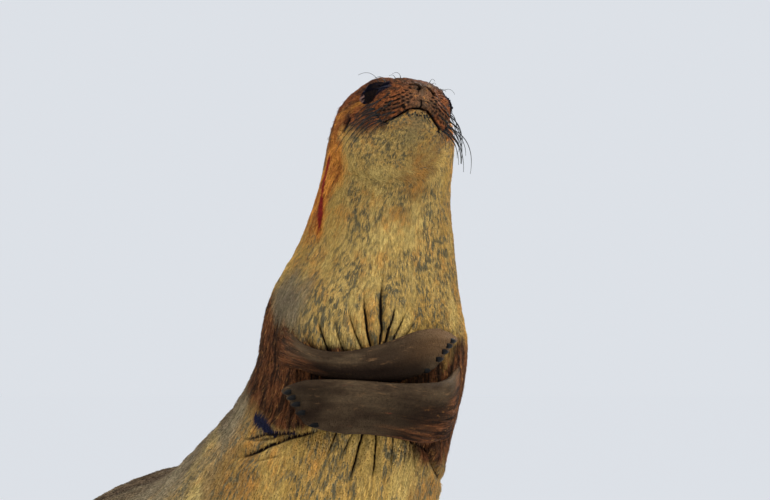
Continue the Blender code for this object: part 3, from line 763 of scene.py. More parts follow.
def limbRelief(kind, across, place, seed):
    # digits, the webs between them and skin creased across the wrist and knuckles
    fore = kind == "fore"
    ridge = clawedRidge(across) if fore else digitRidge(across)
    trailing = 0.35 + 0.65 * smoothstep(0.35, -0.35, across) if fore else 1.0
    raised, first = (0.0016, 0.75) if fore else (0.0030, 0.6)
    relief = raised * (ridge - 0.7) * smoothstep(first, 0.97, place) * trailing
    crease = np.abs(np.sin((place * 30 + 1.1 * wave(across, place * 3, seed, 1.1)) * math.pi))
    relief -= 0.0007 * (1 - crease) ** 3 * (0.15 + 0.85 * smoothstep(0.42, 0.25, place))
    relief += 0.0012 * wave(across, place * 4, seed + 1, 0.9)
    # the webs between the digits near the tip are darkened with painted shade
    web = (1 - ridge) ** 5 * smoothstep(0.84, 0.97, place) * trailing
    if fore:
        # dirt round the claws and along the trailing edge of the tip
        ends = smoothstep(0.90, 0.975, place) * ridge**3
        web = np.maximum(web, 0.75 * ends * (0.5 + 0.5 * wave(across * 3, place * 20, seed + 2, 0.9)))
    return relief, np.clip(web, 0, 1)


def addLimb(name, number, kind, rows, columns, sheet, *form):
    share = np.linspace(0, 1, rows) ** 0.85
    across = np.linspace(-1, 1, columns)
    across = np.sin(across * math.pi / 2) * 0.35 + across * 0.65
    share, across = np.meshgrid(share, across, indexing="ij")
    height = rounded(across, share)
    front, outward, place = sheet(*form, share, across, height)
    back = sheet(*form, share, across, -height)[0]
    relief, web = (0 * share, 0 * share) if kind == "tail" else limbRelief(kind, across, place, 30 + number)
    front = front + outward * ((relief - 0.0015) * np.clip(height * 2.2, 0, 1))[..., None]
    inner = np.zeros(share.shape, bool)
    inner[:-1, 1:-1] = True
    frontIndex = np.arange(rows * columns).reshape(rows, columns)
    backIndex = frontIndex.copy()
    backIndex[inner] = rows * columns + np.arange(inner.sum())
    corners = []
    for i in range(rows - 1):
        for j in range(columns - 1):
            for index, turned in ((frontIndex, False), (backIndex, True)):
                quad = (index[i, j], index[i + 1, j], index[i + 1, j + 1], index[i, j + 1])
                corners.append(quad[::-1] if turned else quad)
    corners.append(tuple(frontIndex[0]) + tuple(backIndex[0, -2:0:-1]))
    info = np.stack([np.full(share.shape, number), place, across, 1.0 * (height > 0.02), web], -1)
    backInfo = info.copy()
    backInfo[..., 3] = -1
    limbPoints = np.concatenate([front.reshape(-1, 3), back[inner]])
    limbPoints[:, 2] = np.maximum(limbPoints[:, 2], 0.0004)
    faces = [tuple(int(v) for v in corner) for corner in corners]
    limbs[name] = (limbPoints, faces, np.concatenate([info.reshape(-1, 5), backInfo[inner]]))


foreGrid, hindGrid = (((60, 42), (40, 36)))
addLimb("right", 1, "fore", *foreGrid, foreflipperSheet, rightPath, rightForm)
addLimb("left", 2, "fore", *foreGrid, foreflipperSheet, leftPath, leftForm)
addLimb("hindLeft", 3, "hind", *hindGrid, hindSheet, hindFlipper, hindForm, 1)
addLimb("hindRight", 4, "hind", *hindGrid, hindSheet, hindFlipper, hindForm, -1)
addLimb("tail", 5, "tail", 18, 12, hindSheet, tail, tailForm, 1)


def meshObject(name, points, faces, edges=()):
    mesh = bpy.data.meshes.new(name)
    mesh.from_pydata([tuple(p) for p in points], edges, faces)
    obj = bpy.data.objects.new(name, mesh)
    bpy.context.scene.collection.objects.link(obj)
    return obj


def closeMesh(mesh):
    bm = bmesh.new()
    bm.from_mesh(mesh)
    bmesh.ops.remove_doubles(bm, verts=bm.verts, dist=1e-6)
    bmesh.ops.recalc_face_normals(bm, faces=bm.faces)
    bm.to_mesh(mesh)
    bm.free()


def modified(obj):
    # a plain mesh with the object's modifiers worked in, and the modifiers gone
    bpy.context.view_layer.update()
    mesh = bpy.data.meshes.new_from_object(obj.evaluated_get(bpy.context.evaluated_depsgraph_get()))
    obj.modifiers.clear()
    return mesh


def read(data, name, size):
    values = np.zeros(len(data) * size)
    data.foreach_get(name, values)
    return values.reshape(-1, size) if size > 1 else values


points[:, 2] = np.maximum(points[:, 2], 0.0005)
skin = meshObject("skin", points, faceList)
closeMesh(skin.data)
for name, (limbPoints, limbFaces, _) in limbs.items():
    shell = meshObject(name + "Shell", limbPoints, limbFaces)
    closeMesh(shell.data)
    join = skin.modifiers.new(name, "BOOLEAN")
    join.operation, join.solver, join.object = "UNION", "EXACT", shell
    old, skin.data = skin.data, modified(skin)
    bpy.data.meshes.remove(old)
    bpy.data.objects.remove(shell)
print("limbs joined", len(skin.data.polygons), "faces")

# what each point of the joined skin came from: s, angle, dome, limb, place, across, face, web
# and how dark its painted crease shade or its lid is
infos = [np.concatenate([params, np.zeros((len(params), 5)), creaseShade[:, None], eyeDark[:, None]], axis=1)]
for limbPoints, _, limbInfo in limbs.values():
    infos.append(np.pad(limbInfo, ((0, 0), (3, 2))))
sourceTree = treeOf(np.concatenate([points] + [limbPoints for limbPoints, _, _ in limbs.values()]))
skinPoints = read(skin.data.vertices, "co", 3)
found = [sourceTree.find(p)[1:] for p in skinPoints]
isNew = np.array([f[1] for f in found]) > 1e-5
info = np.concatenate(infos)[[f[0] for f in found]]
s, angle, dome, limb, place, across, side, web, paintedCreaseShade, eyeDark = info.T
edges = read(skin.data.edges, "vertices", 2).astype(int)

# where a limb grows from the body the join is smoothed until no edge shows
rootEnd = np.where(limb >= 3, 0.40, 0.26)
rootTree = treeOf(skinPoints[isNew & ((limb == 0) | (place < rootEnd))])
offRoot = np.ones(len(skinPoints))
nearRoot = (limb > 0) & (place < 0.5) | (s < 0.25) | (s > 1.5) & (s < 1.8) & (np.abs(angle) > 0.75)
for i in np.nonzero(nearRoot)[0]:
    offRoot[i] = rootTree.find(skinPoints[i])[2]
softness = 1 - smoothstep(0.008, 0.042, offRoot)
softness *= np.where(limb > 0, smoothstep(0.44, 0.24, np.where(limb >= 3, place * 0.6, place)), 1)
softness *= np.where((limb == 0) & (s > 1), smoothstep(0.75, 1.05, np.abs(angle)), 1)
for _ in range(60):
    skinPoints += (neighbourMean(edges, skinPoints) - skinPoints) * softness[:, None] * 0.6
skinPoints[:, 2] = np.maximum(skinPoints[:, 2], 0.0004)
skinPoints += centreShift
skin.data.vertices.foreach_set("co", skinPoints.ravel())
skin.data.update()
triangles = sum(len(p.vertices) - 2 for p in skin.data.polygons)
print("skin", len(skinPoints), "points", triangles, "triangles", int(isNew.sum()), "new")


# markings: each is a soft mask here, broken up by noise in the coat's colours
def plateau(x, low, high, soft):
    return smoothstep(low - soft, low + soft, x) * (1 - smoothstep(high - soft, high + soft, x))


degrees = np.degrees(angle)
headAcross, headForward, headUp = headCoordinates(skinPoints - centreShift)
isBody = limb == 0
isHead = isBody & (s > along("nape"))


def mouthHeight(across):
    return np.interp(np.abs(across), [p[0] for p in mouthHalf], [p[2] for p in mouthHalf])


mouthUp = mouthHeight(headAcross)
browAt, browUp = (-0.16, -0.10, -0.05, -0.013, 0.006), (-0.020, -0.044, -0.062, -0.072, -0.066)
browLine = np.interp(headForward, browAt, browUp)
browLine = np.where(headForward > 0.0, mouthUp, browLine)
browLine += 0.024 * smoothstep(0.02, 0.06, headAcross) * (headForward < 0)
brown = smoothstep(-0.030, 0.026, headUp - browLine) * isHead
brown *= 1 - bell(headAcross, 0, 0.055) * smoothstep(0.0, -0.012, headUp - mouthUp) * (headForward > -0.06)
brown = np.where((headForward > 0.0) & isHead, smoothstep(-0.004, 0.004, headUp - browLine), brown)
backLine = np.interp(s, (0, 1.3, 1.45, 1.7, 1.80, 1.95, 2.1, 2.2), (128, 122, 100, 98, 104, 108, 100, 86))
brownBack = smoothstep(-26, 26, np.abs(degrees) - backLine) * isBody * (~isHead)
brown = np.maximum(brown, brownBack * (0.72 + 0.28 * smoothstep(1.6, 2.0, s)))
edgeLeft = bell(s, 2.07, 0.19) * bell(degrees, -84, 17) + 0.5 * bell(s, 2.10, 0.10) * bell(degrees, -62, 14)
edgeRight = bell(s, 2.17, 0.07) * bell(degrees, 96, 12) * 0.8


def offLine(metresPerDegree, *line):
    # distance along the skin to a line given as degrees round the body and s
    return nearPath(degrees * metresPerDegree, s, [(at * metresPerDegree, reach) for at, reach in line])[0]


streak = offLine(0.0024, (-88, 2.148), (-86, 2.041), (-72, 1.977), (-60, 1.912))
pitTop = np.interp(degrees, (-116, -90, -66, -44), (1.80, 1.775, 1.735, 1.70))
pitRight = smoothstep(1.48, 1.57, s) * smoothstep(0.04, -0.04, s - pitTop)
pitRight *= smoothstep(-136, -84, degrees) * smoothstep(-31, -57, degrees)
crease = np.interp(degrees, (-120, -74, -56, -45, -30, -20), (1.54, 1.522, 1.508, 1.517, 1.537, 1.556))
beneath = smoothstep(-0.006, 0.014, s - crease) * smoothstep(1.64, 1.60, s) * plateau(degrees, -78, -26, 8)
pitRight = np.maximum(pitRight, beneath)
pitFront = np.interp(s, (1.50, 1.53, 1.57), (74, 60, 46))
leftTop = np.interp(degrees, (40, 72, 96, 120), (1.750, 1.740, 1.695, 1.630))
leftLow = np.interp(degrees, (40, 72, 96, 120), (1.525, 1.520, 1.545, 1.590))
pitLeft = smoothstep(-0.05, 0.05, s - leftLow) * smoothstep(0.055, -0.055, s - leftTop)
pitLeft *= smoothstep(-15, 15, degrees - pitFront) * smoothstep(142, 80, degrees)
pitLeft = np.maximum(pitLeft, plateau(s, 1.535, 1.60, 0.020) * plateau(degrees, 24, 60, 14))
# the fur beside and between the foreflippers: brown, darkened as painted shade where the flippers cover it
limbTree = treeOf(skinPoints[(limb == 1) | (limb == 2)])
under = isBody & (s > 1.53) & (s < 1.74) & (np.abs(degrees) < 95)
besideFlipper = np.ones(len(skinPoints))
for i in np.nonzero(under)[0]:
    besideFlipper[i] = limbTree.find(skinPoints[i])[2]
shadeBetweenFlippers = plateau(s, 1.575, 1.70, 0.02) * (1 - smoothstep(0.012, 0.045, besideFlipper))
foreflipper = (limb == 1) | (limb == 2)
bareFrom = np.where(limb == 2, 0.36 - 0.20 * across, 0.29 - 0.05 * across)
wavering = 0.04 * wave(across * 0.1, place * 0.3, 61, 0.06)
isLimb = smoothstep(-0.13, 0.13, place - bareFrom + wavering) * foreflipper
isLimb += smoothstep(0.05, 0.4, place) * (limb >= 3)
rust = edgeLeft + edgeRight + 0.9 * bell(streak, 0, 0.012) * smoothstep(1.9, 1.94, s)
rust = np.clip(rust, 0, 1) * isBody
armpitBrownAndShade = np.clip(np.maximum.reduce([pitRight, pitLeft, shadeBetweenFlippers]), 0, 1) * isBody
armpitBrownAndShade = np.where(foreflipper, 1 - smoothstep(0.10, 0.30, place - bareFrom), armpitBrownAndShade)
red = 1.3 * bell(streak, 0, 0.009) * smoothstep(1.90, 1.98, s) * smoothstep(2.15, 2.06, s) * isBody
stain = bell(offLine(0.0033, (-70, 1.509), (-62, 1.510), (-56, 1.505)), 0, 0.0125)
stain = np.maximum(stain, 0.9 * bell(offLine(0.0033, (-60, 1.500), (-40, 1.520)), 0, 0.0030)) * isBody
backward = smoothstep(1.62, 1.30, s)
grey = backward * smoothstep(58, 125, np.abs(degrees)) * isBody * 0.9
grey = np.maximum(grey, plateau(s, 1.40, 1.60, 0.06) * smoothstep(-66, -96, degrees) * isBody)
grey = np.maximum(grey, bell(s, 1.768, 0.068) * bell(degrees, -64, 21) * isBody)
grey = np.maximum(grey, smoothstep(1.15, 0.1, s) * isBody * 0.85)
grey = np.where(limb >= 3, 0.85, grey)
back = smoothstep(2.16, 1.70, s) * isBody
pale = smoothstep(60, 90, degrees) * bell(s, 1.45, 0.10) * isBody
noseTop = bell(headAcross, 0, 0.050) * smoothstep(-0.006, 0.018, headUp) * isHead
noseTop *= smoothstep(-0.02, 0.02, headForward)
muzzle = bell(headAcross, 0, 0.040) * plateau(headUp, -0.046, 0.030, 0.008) * isHead
muzzle *= smoothstep(0.0, 0.02, headForward)
# painted shade over the lower side of each foreflipper
flipperShade = smoothstep(0.25, -0.45, across) * plateau(place, 0.26, 0.84, 0.08) * (limb == 1)
flipperShade += smoothstep(0.70, 0.10, across) * plateau(place, 0.24, 0.66, 0.14) * 0.85 * (limb == 2)
tip = smoothstep(0.66, 0.90, place) * smoothstep(-0.7, 0.2, across) * (limb == 1)
chin = 1.25 * bell(headAcross, 0.002, 0.026) * plateau(headUp - mouthUp, -0.046, -0.003, 0.009) * isHead
# painted shade in creases, grooves and hollows
dark = np.clip(paintedCreaseShade, 0, 1)
lidBrown = np.zeros(len(skinPoints))
for _, centre, outward, long, high in eyes:
    offset = skinPoints - centreShift - centre
    tailSide = np.hypot((offset @ long + 0.034) / 0.013, (offset @ high + 0.008) / 0.012)
    lidBrown = np.maximum(lidBrown, (1 - smoothstep(0.7, 1.2, tailSide)) * (offset @ outward > 0))
# on the foreflippers also the painted shade in the webs and the dirt round the claws
dark = np.where(foreflipper, np.maximum(dark, 0.8 * web), dark)


def store(mesh, name, values, domain="POINT"):
    # numbers or vectors kept on a mesh under a name
    values = np.ascontiguousarray(values, np.float32)
    kind, field = ("FLOAT", "value") if values.ndim == 1 else ("FLOAT_VECTOR", "vector")
    mesh.attributes.new(name, kind, domain).data.foreach_set(field, values.ravel())


marks = {
    "markBrown": brown, "markRust": rust, "markPit": armpitBrownAndShade, "markLimb": isLimb, "markGrey": grey,
    "markStain": stain, "markDark": dark, "markEye": eyeDark, "markRed": red, "markPale": pale,
    "markChin": chin, "markLid": lidBrown, "markNose": noseTop, "markTip": tip, "markMuzzle": muzzle,
    "markUnder": flipperShade, "markBack": back,
}
# coordinates that follow the lie of the coat, squeezed along it so that spots draw out
domeRise = np.radians(np.clip(dome, 0, 90))
ringRadius = np.interp(s, lengths, sizes[:, 0]) * np.cos(domeRise)
lengthwise = np.interp(s, (0, 2.05, 2.30, bodyLength), (0, 1.27, 1.49, 1.544)) + 0.02 * np.sin(domeRise)
lie = np.stack([np.cos(angle) * ringRadius, np.sin(angle) * ringRadius, lengthwise], axis=1)
onLimb = np.stack([across * 0.07 + limb, side * 0.02, place * 0.24], axis=1)
lie = np.where((limb > 0)[:, None], onLimb, lie)
# the coat lies from the nose to the tail, and along the limbs to their tips
step = 0.012
headward, tailward = np.clip(s + step, 0, bodyLength), np.clip(s - step, 0, bodyLength)
flow = unit(bodyPoint(tailward, angle) - bodyPoint(headward, angle))
for number, path in ((1, rightPath), (2, leftPath)):
    on = limb == number
    ahead = np.clip(place[on] + 0.05, 0, 1)
    behind = ahead - 0.1
    ends = [bodyPoint(column(path, at, 1), np.radians(column(path, at, 2))) for at in (behind, ahead)]
    flow[on] = unit(ends[1] - ends[0])
for number, form, mirror in ((3, hindFlipper, 1), (4, hindFlipper, -1), (5, tail, 1)):
    on = limb == number
    flow[on] = unit(skinPoints[on] - centreShift - np.array(form["root"]) * (mirror, 1, 1) + (0, 0.05, 0))
mesh = skin.data
eyeAt = np.zeros((len(skinPoints), 3))
for _, centre, outward, long, high in eyes:
    offset = skinPoints - centreShift - centre
    near = np.linalg.norm(offset, axis=1) < 0.09
    eyeAt[near] = np.stack([offset @ long, offset @ high, offset @ outward], axis=1)[near]
for name, values in (marks | {"lie": lie, "eyeAt": eyeAt}).items():
    store(mesh, name, values)

# the skin's own flat map, and the same places for the tufts' roots
corners = read(mesh.loops, "vertex_index", 1).astype(int)
starts = read(mesh.polygons, "loop_start", 1).astype(int)
totals = read(mesh.polygons, "loop_total", 1).astype(int)
owner = np.repeat(np.arange(len(totals)), totals)
flatMap = {"middle": 0.31, "width": 0.58, "low": 0.02, "high": 0.96, "limbWide": 0.15, "limbHigh": 0.17}


def perFace(operation, values):
    return operation.reduceat(values[corners], starts)[owner]


turn = np.where(isBody, angle, 0.0)
crossing = perFace(np.maximum, turn) - perFace(np.minimum, turn) > math.pi
cornerTurn = turn[corners] + np.where(crossing & (turn[corners] < 0), 2 * math.pi, 0)
girth = np.interp(s, lengths, sizes[:, :3].sum(axis=1))[corners] / 0.80
reached = s + 0.02 * np.sin(np.radians(dome))
bodyU = flatMap["middle"] + cornerTurn / (2 * math.pi) * flatMap["width"] * np.minimum(girth, 1)
bodyV = (reached[corners] + 0.02) / (bodyLength + 0.04)
bodyV = flatMap["low"] + (flatMap["high"] - flatMap["low"]) * bodyV
faceLimb = perFace(np.maximum, limb)
faceFront = np.add.reduceat(side[corners], starts)[owner] > 0
limbU = 0.64 + np.where(faceFront, 0.0, 0.18) + flatMap["limbWide"] * place[corners]
limbV = 0.02 + (faceLimb - 1) * 0.19 + flatMap["limbHigh"] * (across[corners] + 1) / 2
flat = np.where(faceLimb[:, None] > 0, np.stack([limbU, limbV], 1), np.stack([bodyU, bodyV], 1))
# a corner that belongs to another part takes the middle of its face's own corners
own = (limb[corners] == faceLimb).astype(float)
ownCount = np.maximum(np.add.reduceat(own, starts)[owner], 1)
for k in range(2):
    middle = np.add.reduceat(flat[:, k] * own, starts)[owner] / ownCount
    flat[:, k] = np.where(own > 0, flat[:, k], middle)
flat = np.clip(flat, 0.001, 0.999)
layer = mesh.uv_layers.new(name="OFBake")
layer.data.foreach_set("uv", flat.astype(np.float32).ravel())
print("marks and map ready")


# colours of coat and bare skin, shared by the skin and every tuft
coatColours = {
    "khaki": (0.335, 0.212, 0.054), "paleKhaki": (0.45, 0.325, 0.105), "brownKhaki": (0.215, 0.120, 0.036),
    "olive": (0.105, 0.088, 0.048), "speck": (0.030, 0.022, 0.012), "orange": (0.42, 0.185, 0.036),
    "face": (0.060, 0.025, 0.013), "faceRust": (0.180, 0.054, 0.017), "faceDark": (0.007, 0.004, 0.003),
    "back": (0.095, 0.062, 0.036), "backDark": (0.034, 0.021, 0.012), "faceGlint": (0.32, 0.125, 0.030),
    "muzzle": (0.066, 0.042, 0.024), "rust": (0.50, 0.200, 0.034),
    "rustGold": (0.56, 0.36, 0.10), "rustDark": (0.16, 0.045, 0.014),
    "pit": (0.036, 0.018, 0.010), "pitRust": (0.135, 0.050, 0.019), "pitGlint": (0.36, 0.160, 0.045),
    "flipper": (0.026, 0.016, 0.009), "flipperPale": (0.066, 0.044, 0.024),
    "flipperDark": (0.005, 0.0025, 0.0015), "flipperTan": (0.12, 0.066, 0.030),
    "grey": (0.130, 0.096, 0.060), "greyPale": (0.21, 0.165, 0.098),
    "bloodRed": (0.16, 0.014, 0.010), "stain": (0.010, 0.011, 0.026), "lid": (0.002, 0.002, 0.004),
    "lidHighlight": (0.017, 0.016, 0.022), "lidBrown": (0.130, 0.074, 0.060), "deep": (0.005, 0.003, 0.002),
}
coatPattern = {
    "patches": 8.0, "clusters": 15.0, "mottle": 135.0, "specks": 250.0, "tint": 17.0, "broad": 5.0,
    "strands": 420.0, "wrinkles": 60.0, "strandHeight": 0.0011, "skinHeight": 0.0012,
}


def addNode(tree, kind, inputs=None, **settings):
    # a node with its settings made and each input linked to a socket or given a value
    node = tree.nodes.new(kind)
    for key, value in settings.items():
        setattr(node, key, value)
    for key, value in (inputs or {}).items():
        socket = node.inputs[key]
        if isinstance(value, bpy.types.NodeSocket):
            tree.links.new(value, socket)
        else:
            isColour = isinstance(value, tuple) and len(socket.default_value) == 4
            socket.default_value = (*value, 1) if isColour else value
    return node


class Finish:
    # a material's node tree, built from short calls that hand on sockets
    def __init__(self, name):
        self.material = bpy.data.materials.new(name)
        self.material.use_nodes = True
        self.tree = self.material.node_tree

    def node(self, kind, inputs, output=0, **settings):
        return addNode(self.tree, kind, inputs, **settings).outputs[output]

    def mark(self, name, output="Fac"):
        return self.node("ShaderNodeAttribute", {}, output, attribute_name=name)

    def sum(self, operation, first, second, clamp=False):
        return self.node("ShaderNodeMath", {0: first, 1: second}, operation=operation, use_clamp=clamp)

    def times(self, first, second):
        return self.sum("MULTIPLY", first, second)

    def stretch(self, vector, scale, shift=(0, 0, 0)):
        return self.node("ShaderNodeMapping", {"Vector": vector, "Scale": scale, "Location": shift})

    def noise(self, vector, scale, detail=2.0, roughness=0.5, distortion=0.0):
        inputs = {"Vector": vector, "Scale": scale, "Detail": detail, "Roughness": roughness}
        return self.node("ShaderNodeTexNoise", inputs | {"Distortion": distortion}, "Fac")

    def ramp(self, value, low, high, bottom=0.0, top=1.0):
        inputs = {"Value": value, "From Min": low, "From Max": high, "To Min": bottom, "To Max": top}
        return self.node("ShaderNodeMapRange", inputs, interpolation_type="SMOOTHSTEP")

    def mix(self, amount, first, second, blend="MIX"):
        inputs = {0: amount, 6: first, 7: second}
        return self.node("ShaderNodeMix", inputs, 2, data_type="RGBA", blend_type=blend)

    def shade(self, value):
        return self.node("ShaderNodeCombineColor", {0: value, 1: value, 2: value})

    def bump(self, height, depth, under=None):
        inputs = {"Distance": depth, "Height": height} | ({} if under is None else {"Normal": under})
        return self.node("ShaderNodeBump", inputs)

    def surface(self, colour, roughness, specular, **others):
        shader = self.tree.nodes["Principled BSDF"]
        inputs = {"Base Color": colour, "Roughness": roughness, "Specular IOR Level": specular} | others
        for key, value in inputs.items():
            socket = shader.inputs[key.replace("_", " ")]
            if isinstance(value, bpy.types.NodeSocket):
                self.tree.links.new(value, socket)
            else:
                socket.default_value = (*value, 1) if isinstance(value, tuple) else value
        return self.material


def broken(finish, lie, name, scale, low=0.22, high=0.78):
    # a soft mask whose edge is frayed along the hair
    drawn = finish.stretch(lie, (1, 1, 0.45))
    fray = finish.sum("SUBTRACT", finish.noise(drawn, scale, 8.0, 0.78), 0.5)
    return finish.ramp(finish.sum("ADD", finish.mark(name), finish.times(fray, 1.9)), low, high)


def coatColour(finish):
    c, p = coatColours, coatPattern
    mix, ramp, noise, stretch = finish.mix, finish.ramp, finish.noise, finish.stretch
    mark, times = finish.mark, finish.times
    lie = mark("lie", "Vector")
    fineLie = stretch(lie, (1, 1, 1), (3.1, 7.7, 1.9))
    broad = noise(stretch(lie, (1, 1, 0.4)), p["broad"], 4.0, 0.6)
    patches = noise(lie, p["patches"], 4.0, 0.6, 0.3)
    colour = mix(ramp(broad, 0.40, 0.62), c["khaki"], c["paleKhaki"])
    colour = mix(ramp(patches, 0.46, 0.62, 0.0, 0.85), colour, c["brownKhaki"])
    tint = ramp(noise(fineLie, p["tint"], 8.0, 0.8), 0.49, 0.62, 0.0, 0.6)
    colour = mix(tint, colour, c["orange"])
    drawn = stretch(lie, (1, 1, 0.75))
    where = ramp(noise(drawn, p["clusters"], 6.0, 0.68, 0.5), 0.41, 0.56)
    colour = mix(times(where, 0.22), colour, c["orange"])
    colour = mix(times(where, 0.12), colour, c["olive"])
    mottle = ramp(noise(drawn, p["mottle"], 5.0, 0.75, 0.3), 0.485, 0.54)
    colour = mix(times(mottle, finish.sum("MAXIMUM", where, 0.30)), colour, c["olive"])
    speck = ramp(noise(lie, p["specks"], 3.0, 0.6), 0.55, 0.62, 0.0, 0.9)
    amount = finish.sum("ADD", times(mark("markChin"), 1.2), times(where, 0.25), True)
    colour = mix(times(speck, amount), colour, c["speck"])
    greyCoat = mix(ramp(patches, 0.38, 0.62), c["grey"], c["greyPale"])
    greyCoat = mix(times(mottle, 0.55), greyCoat, c["olive"])
    colour = mix(broken(finish, lie, "markGrey", 14.0, 0.05, 0.95), colour, greyCoat)
    colour = mix(times(broken(finish, lie, "markPale", 20.0), 0.7), colour, c["paleKhaki"])
    colour = mix(times(mark("markChin"), 0.45), colour, c["olive"])
    rustNoise = ramp(noise(stretch(fineLie, (1, 1, 0.4)), 40.0, 6.0, 0.75), 0.44, 0.56)
    face = mix(rustNoise, c["face"], c["faceRust"])
    face = mix(times(mark("markMuzzle"), 0.8), face, c["muzzle"])
    lines = noise(stretch(lie, (1, 1, 0.4)), 240.0, 4.0, 0.7)
    face = mix(ramp(lines, 0.50, 0.60, 0.0, 0.8), face, c["faceDark"])
    glint = noise(fineLie, 150.0, 3.0, 0.6)
    face = mix(ramp(glint, 0.60, 0.70, 0.0, 0.55), face, c["faceGlint"])
    face = mix(times(mark("markNose"), 0.62), face, c["faceDark"])
    face = mix(mark("markBack"), face, mix(rustNoise, c["back"], c["backDark"]))
    colour = mix(broken(finish, lie, "markBrown", 26.0, 0.08, 0.92), colour, face)
    rust = mix(ramp(broad, 0.45, 0.60), c["rust"], c["rustGold"])
    rust = mix(times(rustNoise, 0.8), rust, c["rustDark"])
    rust = mix(ramp(noise(lie, 140.0, 3.0, 0.6), 0.59, 0.66, 0.0, 0.85), rust, c["faceDark"])
    colour = mix(broken(finish, lie, "markRust", 34.0), colour, rust)
    pit = mix(rustNoise, c["pit"], c["pitRust"])
    pit = mix(ramp(glint, 0.58, 0.68, 0.0, 0.7), pit, c["pitGlint"])
    # dark fold lines in the armpit, painted shade
    foldShade = noise(stretch(lie, (1, 1, 0.22)), 130.0, 4.0, 0.65)
    pit = mix(ramp(foldShade, 0.47, 0.60, 0.0, 0.80), pit, c["deep"])
    # armpit brown, and painted shade beside and between the foreflippers
    colour = mix(broken(finish, lie, "markPit", 17.0, 0.12, 0.86), colour, pit)
    bare = mix(ramp(noise(lie, 16.0, 5.0, 0.6), 0.40, 0.66), c["flipper"], c["flipperPale"])
    bare = mix(ramp(noise(fineLie, 9.0, 3.0, 0.5), 0.48, 0.68, 0.0, 0.7), bare, c["flipperDark"])
    tan = ramp(noise(fineLie, 70.0, 5.0, 0.7), 0.58, 0.70, 0.0, 0.7)
    bare = mix(tan, bare, c["flipperTan"])
    # painted shade over the lower side of the foreflippers
    bare = mix(times(mark("markUnder"), 0.9), bare, c["flipperDark"])
    bare = mix(times(mark("markTip"), 0.5), bare, c["flipperTan"])
    colour = mix(mark("markLimb"), colour, bare)
    colour = mix(broken(finish, lie, "markRed", 90.0), colour, c["bloodRed"])
    colour = mix(broken(finish, lie, "markStain", 75.0, 0.52, 0.60), colour, c["stain"])
    streak = noise(stretch(lie, (1, 1, 0.16)), p["strands"], 2.0, 0.6)
    strands = finish.shade(ramp(streak, 0.30, 0.70, 0.62, 1.34))
    plain = finish.sum("SUBTRACT", 1.0, times(mark("markLimb"), 0.75))
    colour = mix(plain, colour, mix(1.0, colour, strands, "MULTIPLY"))
    return lie, streak, colour


def skinMaterial():
    finish = Finish("coatedSkin")
    c, p = coatColours, coatPattern
    mix, ramp, noise, times = finish.mix, finish.ramp, finish.noise, finish.times
    lie, streak, colour = coatColour(finish)
    furrows = noise(finish.stretch(finish.mark("eyeAt", "Vector"), (0.20, 1.6, 0.20)), 150.0, 2.0, 0.55)
    # painted highlights along the lid furrows
    lid = mix(ramp(furrows, 0.55, 0.68), c["lid"], c["lidHighlight"])
    eye = finish.mark("markEye")
    rear = times(ramp(finish.mark("markLid"), 0.2, 0.8), ramp(furrows, 0.40, 0.52))
    lid = mix(rear, lid, c["lidBrown"])
    colour = mix(ramp(eye, 0.25, 0.65), colour, lid)
    # creases, grooves and hollows are darkened with painted shade
    colour = mix(ramp(finish.mark("markDark"), 0.10, 0.80), colour, c["deep"])
    bareness = finish.sum("MAXIMUM", finish.mark("markLimb"), eye)
    rough = ramp(noise(lie, p["wrinkles"], 3.0), 0.3, 0.7, 0.58, 0.74)
    hair = times(streak, finish.sum("SUBTRACT", 1.0, times(bareness, 0.75)))
    hair = finish.sum("ADD", hair, times(noise(lie, 900.0, 2.0, 0.5), 0.25))
    wrinkles = noise(finish.stretch(lie, (1, 1, 0.45)), p["wrinkles"] * 3, 4.0, 0.65)
    relief = finish.bump(hair, p["strandHeight"], finish.bump(wrinkles, p["skinHeight"]))
    relief = finish.bump(times(furrows, eye), 0.0012, relief)
    return finish.surface(colour, rough, times(finish.sum("SUBTRACT", 1.0, eye), 0.02), Normal=relief)


def tuftMaterial(name, roughness):
    finish = Finish(name)
    lighter = finish.shade(finish.ramp(finish.mark("tuftAlong"), 0.0, 1.0, 0.70, 1.22))
    colour = finish.mix(1.0, coatColour(finish)[2], lighter, "MULTIPLY")
    # tufts in creases take the same painted shade
    colour = finish.mix(finish.ramp(finish.mark("markDark"), 0.25, 0.9), colour, coatColours["deep"])
    return finish.surface(colour, roughness, 0.025)


def addObject(name, mesh, material, slot, replaced=()):
    obj = bpy.data.objects.new(name, mesh)
    bpy.context.scene.collection.objects.link(obj)
    for polygon in mesh.polygons:
        polygon.use_smooth = True
    mesh.materials.clear()
    mesh.materials.append(material)
    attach(obj, "root")
    if replaced:
        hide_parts(*replaced)


for polygon in skin.data.polygons:
    polygon.use_smooth = True
skin.data.materials.append(skinMaterial())

# eyeballs, near-black with a faint brown iris round a wide pupil
eyeball = {"rings": 48, "segments": 64, "colour": (0.002, 0.002, 0.003), "iris": (0.010, 0.006, 0.004)}


def eyeMaterial(name, front):
    finish = Finish(name)
    place = finish.node("ShaderNodeTexCoord", {}, "Object")
    distance = finish.node("ShaderNodeVectorMath", {0: place, 1: front}, "Value", operation="DISTANCE")
    rays = finish.ramp(finish.noise(place, 400.0, 3.0), 0.4, 0.7)
    iris = finish.mix(rays, eyeball["colour"], eyeball["iris"])
    colour = finish.mix(finish.ramp(distance, 0.008, 0.013), eyeball["colour"], iris)
    return finish.surface(colour, 0.30, 0.0)


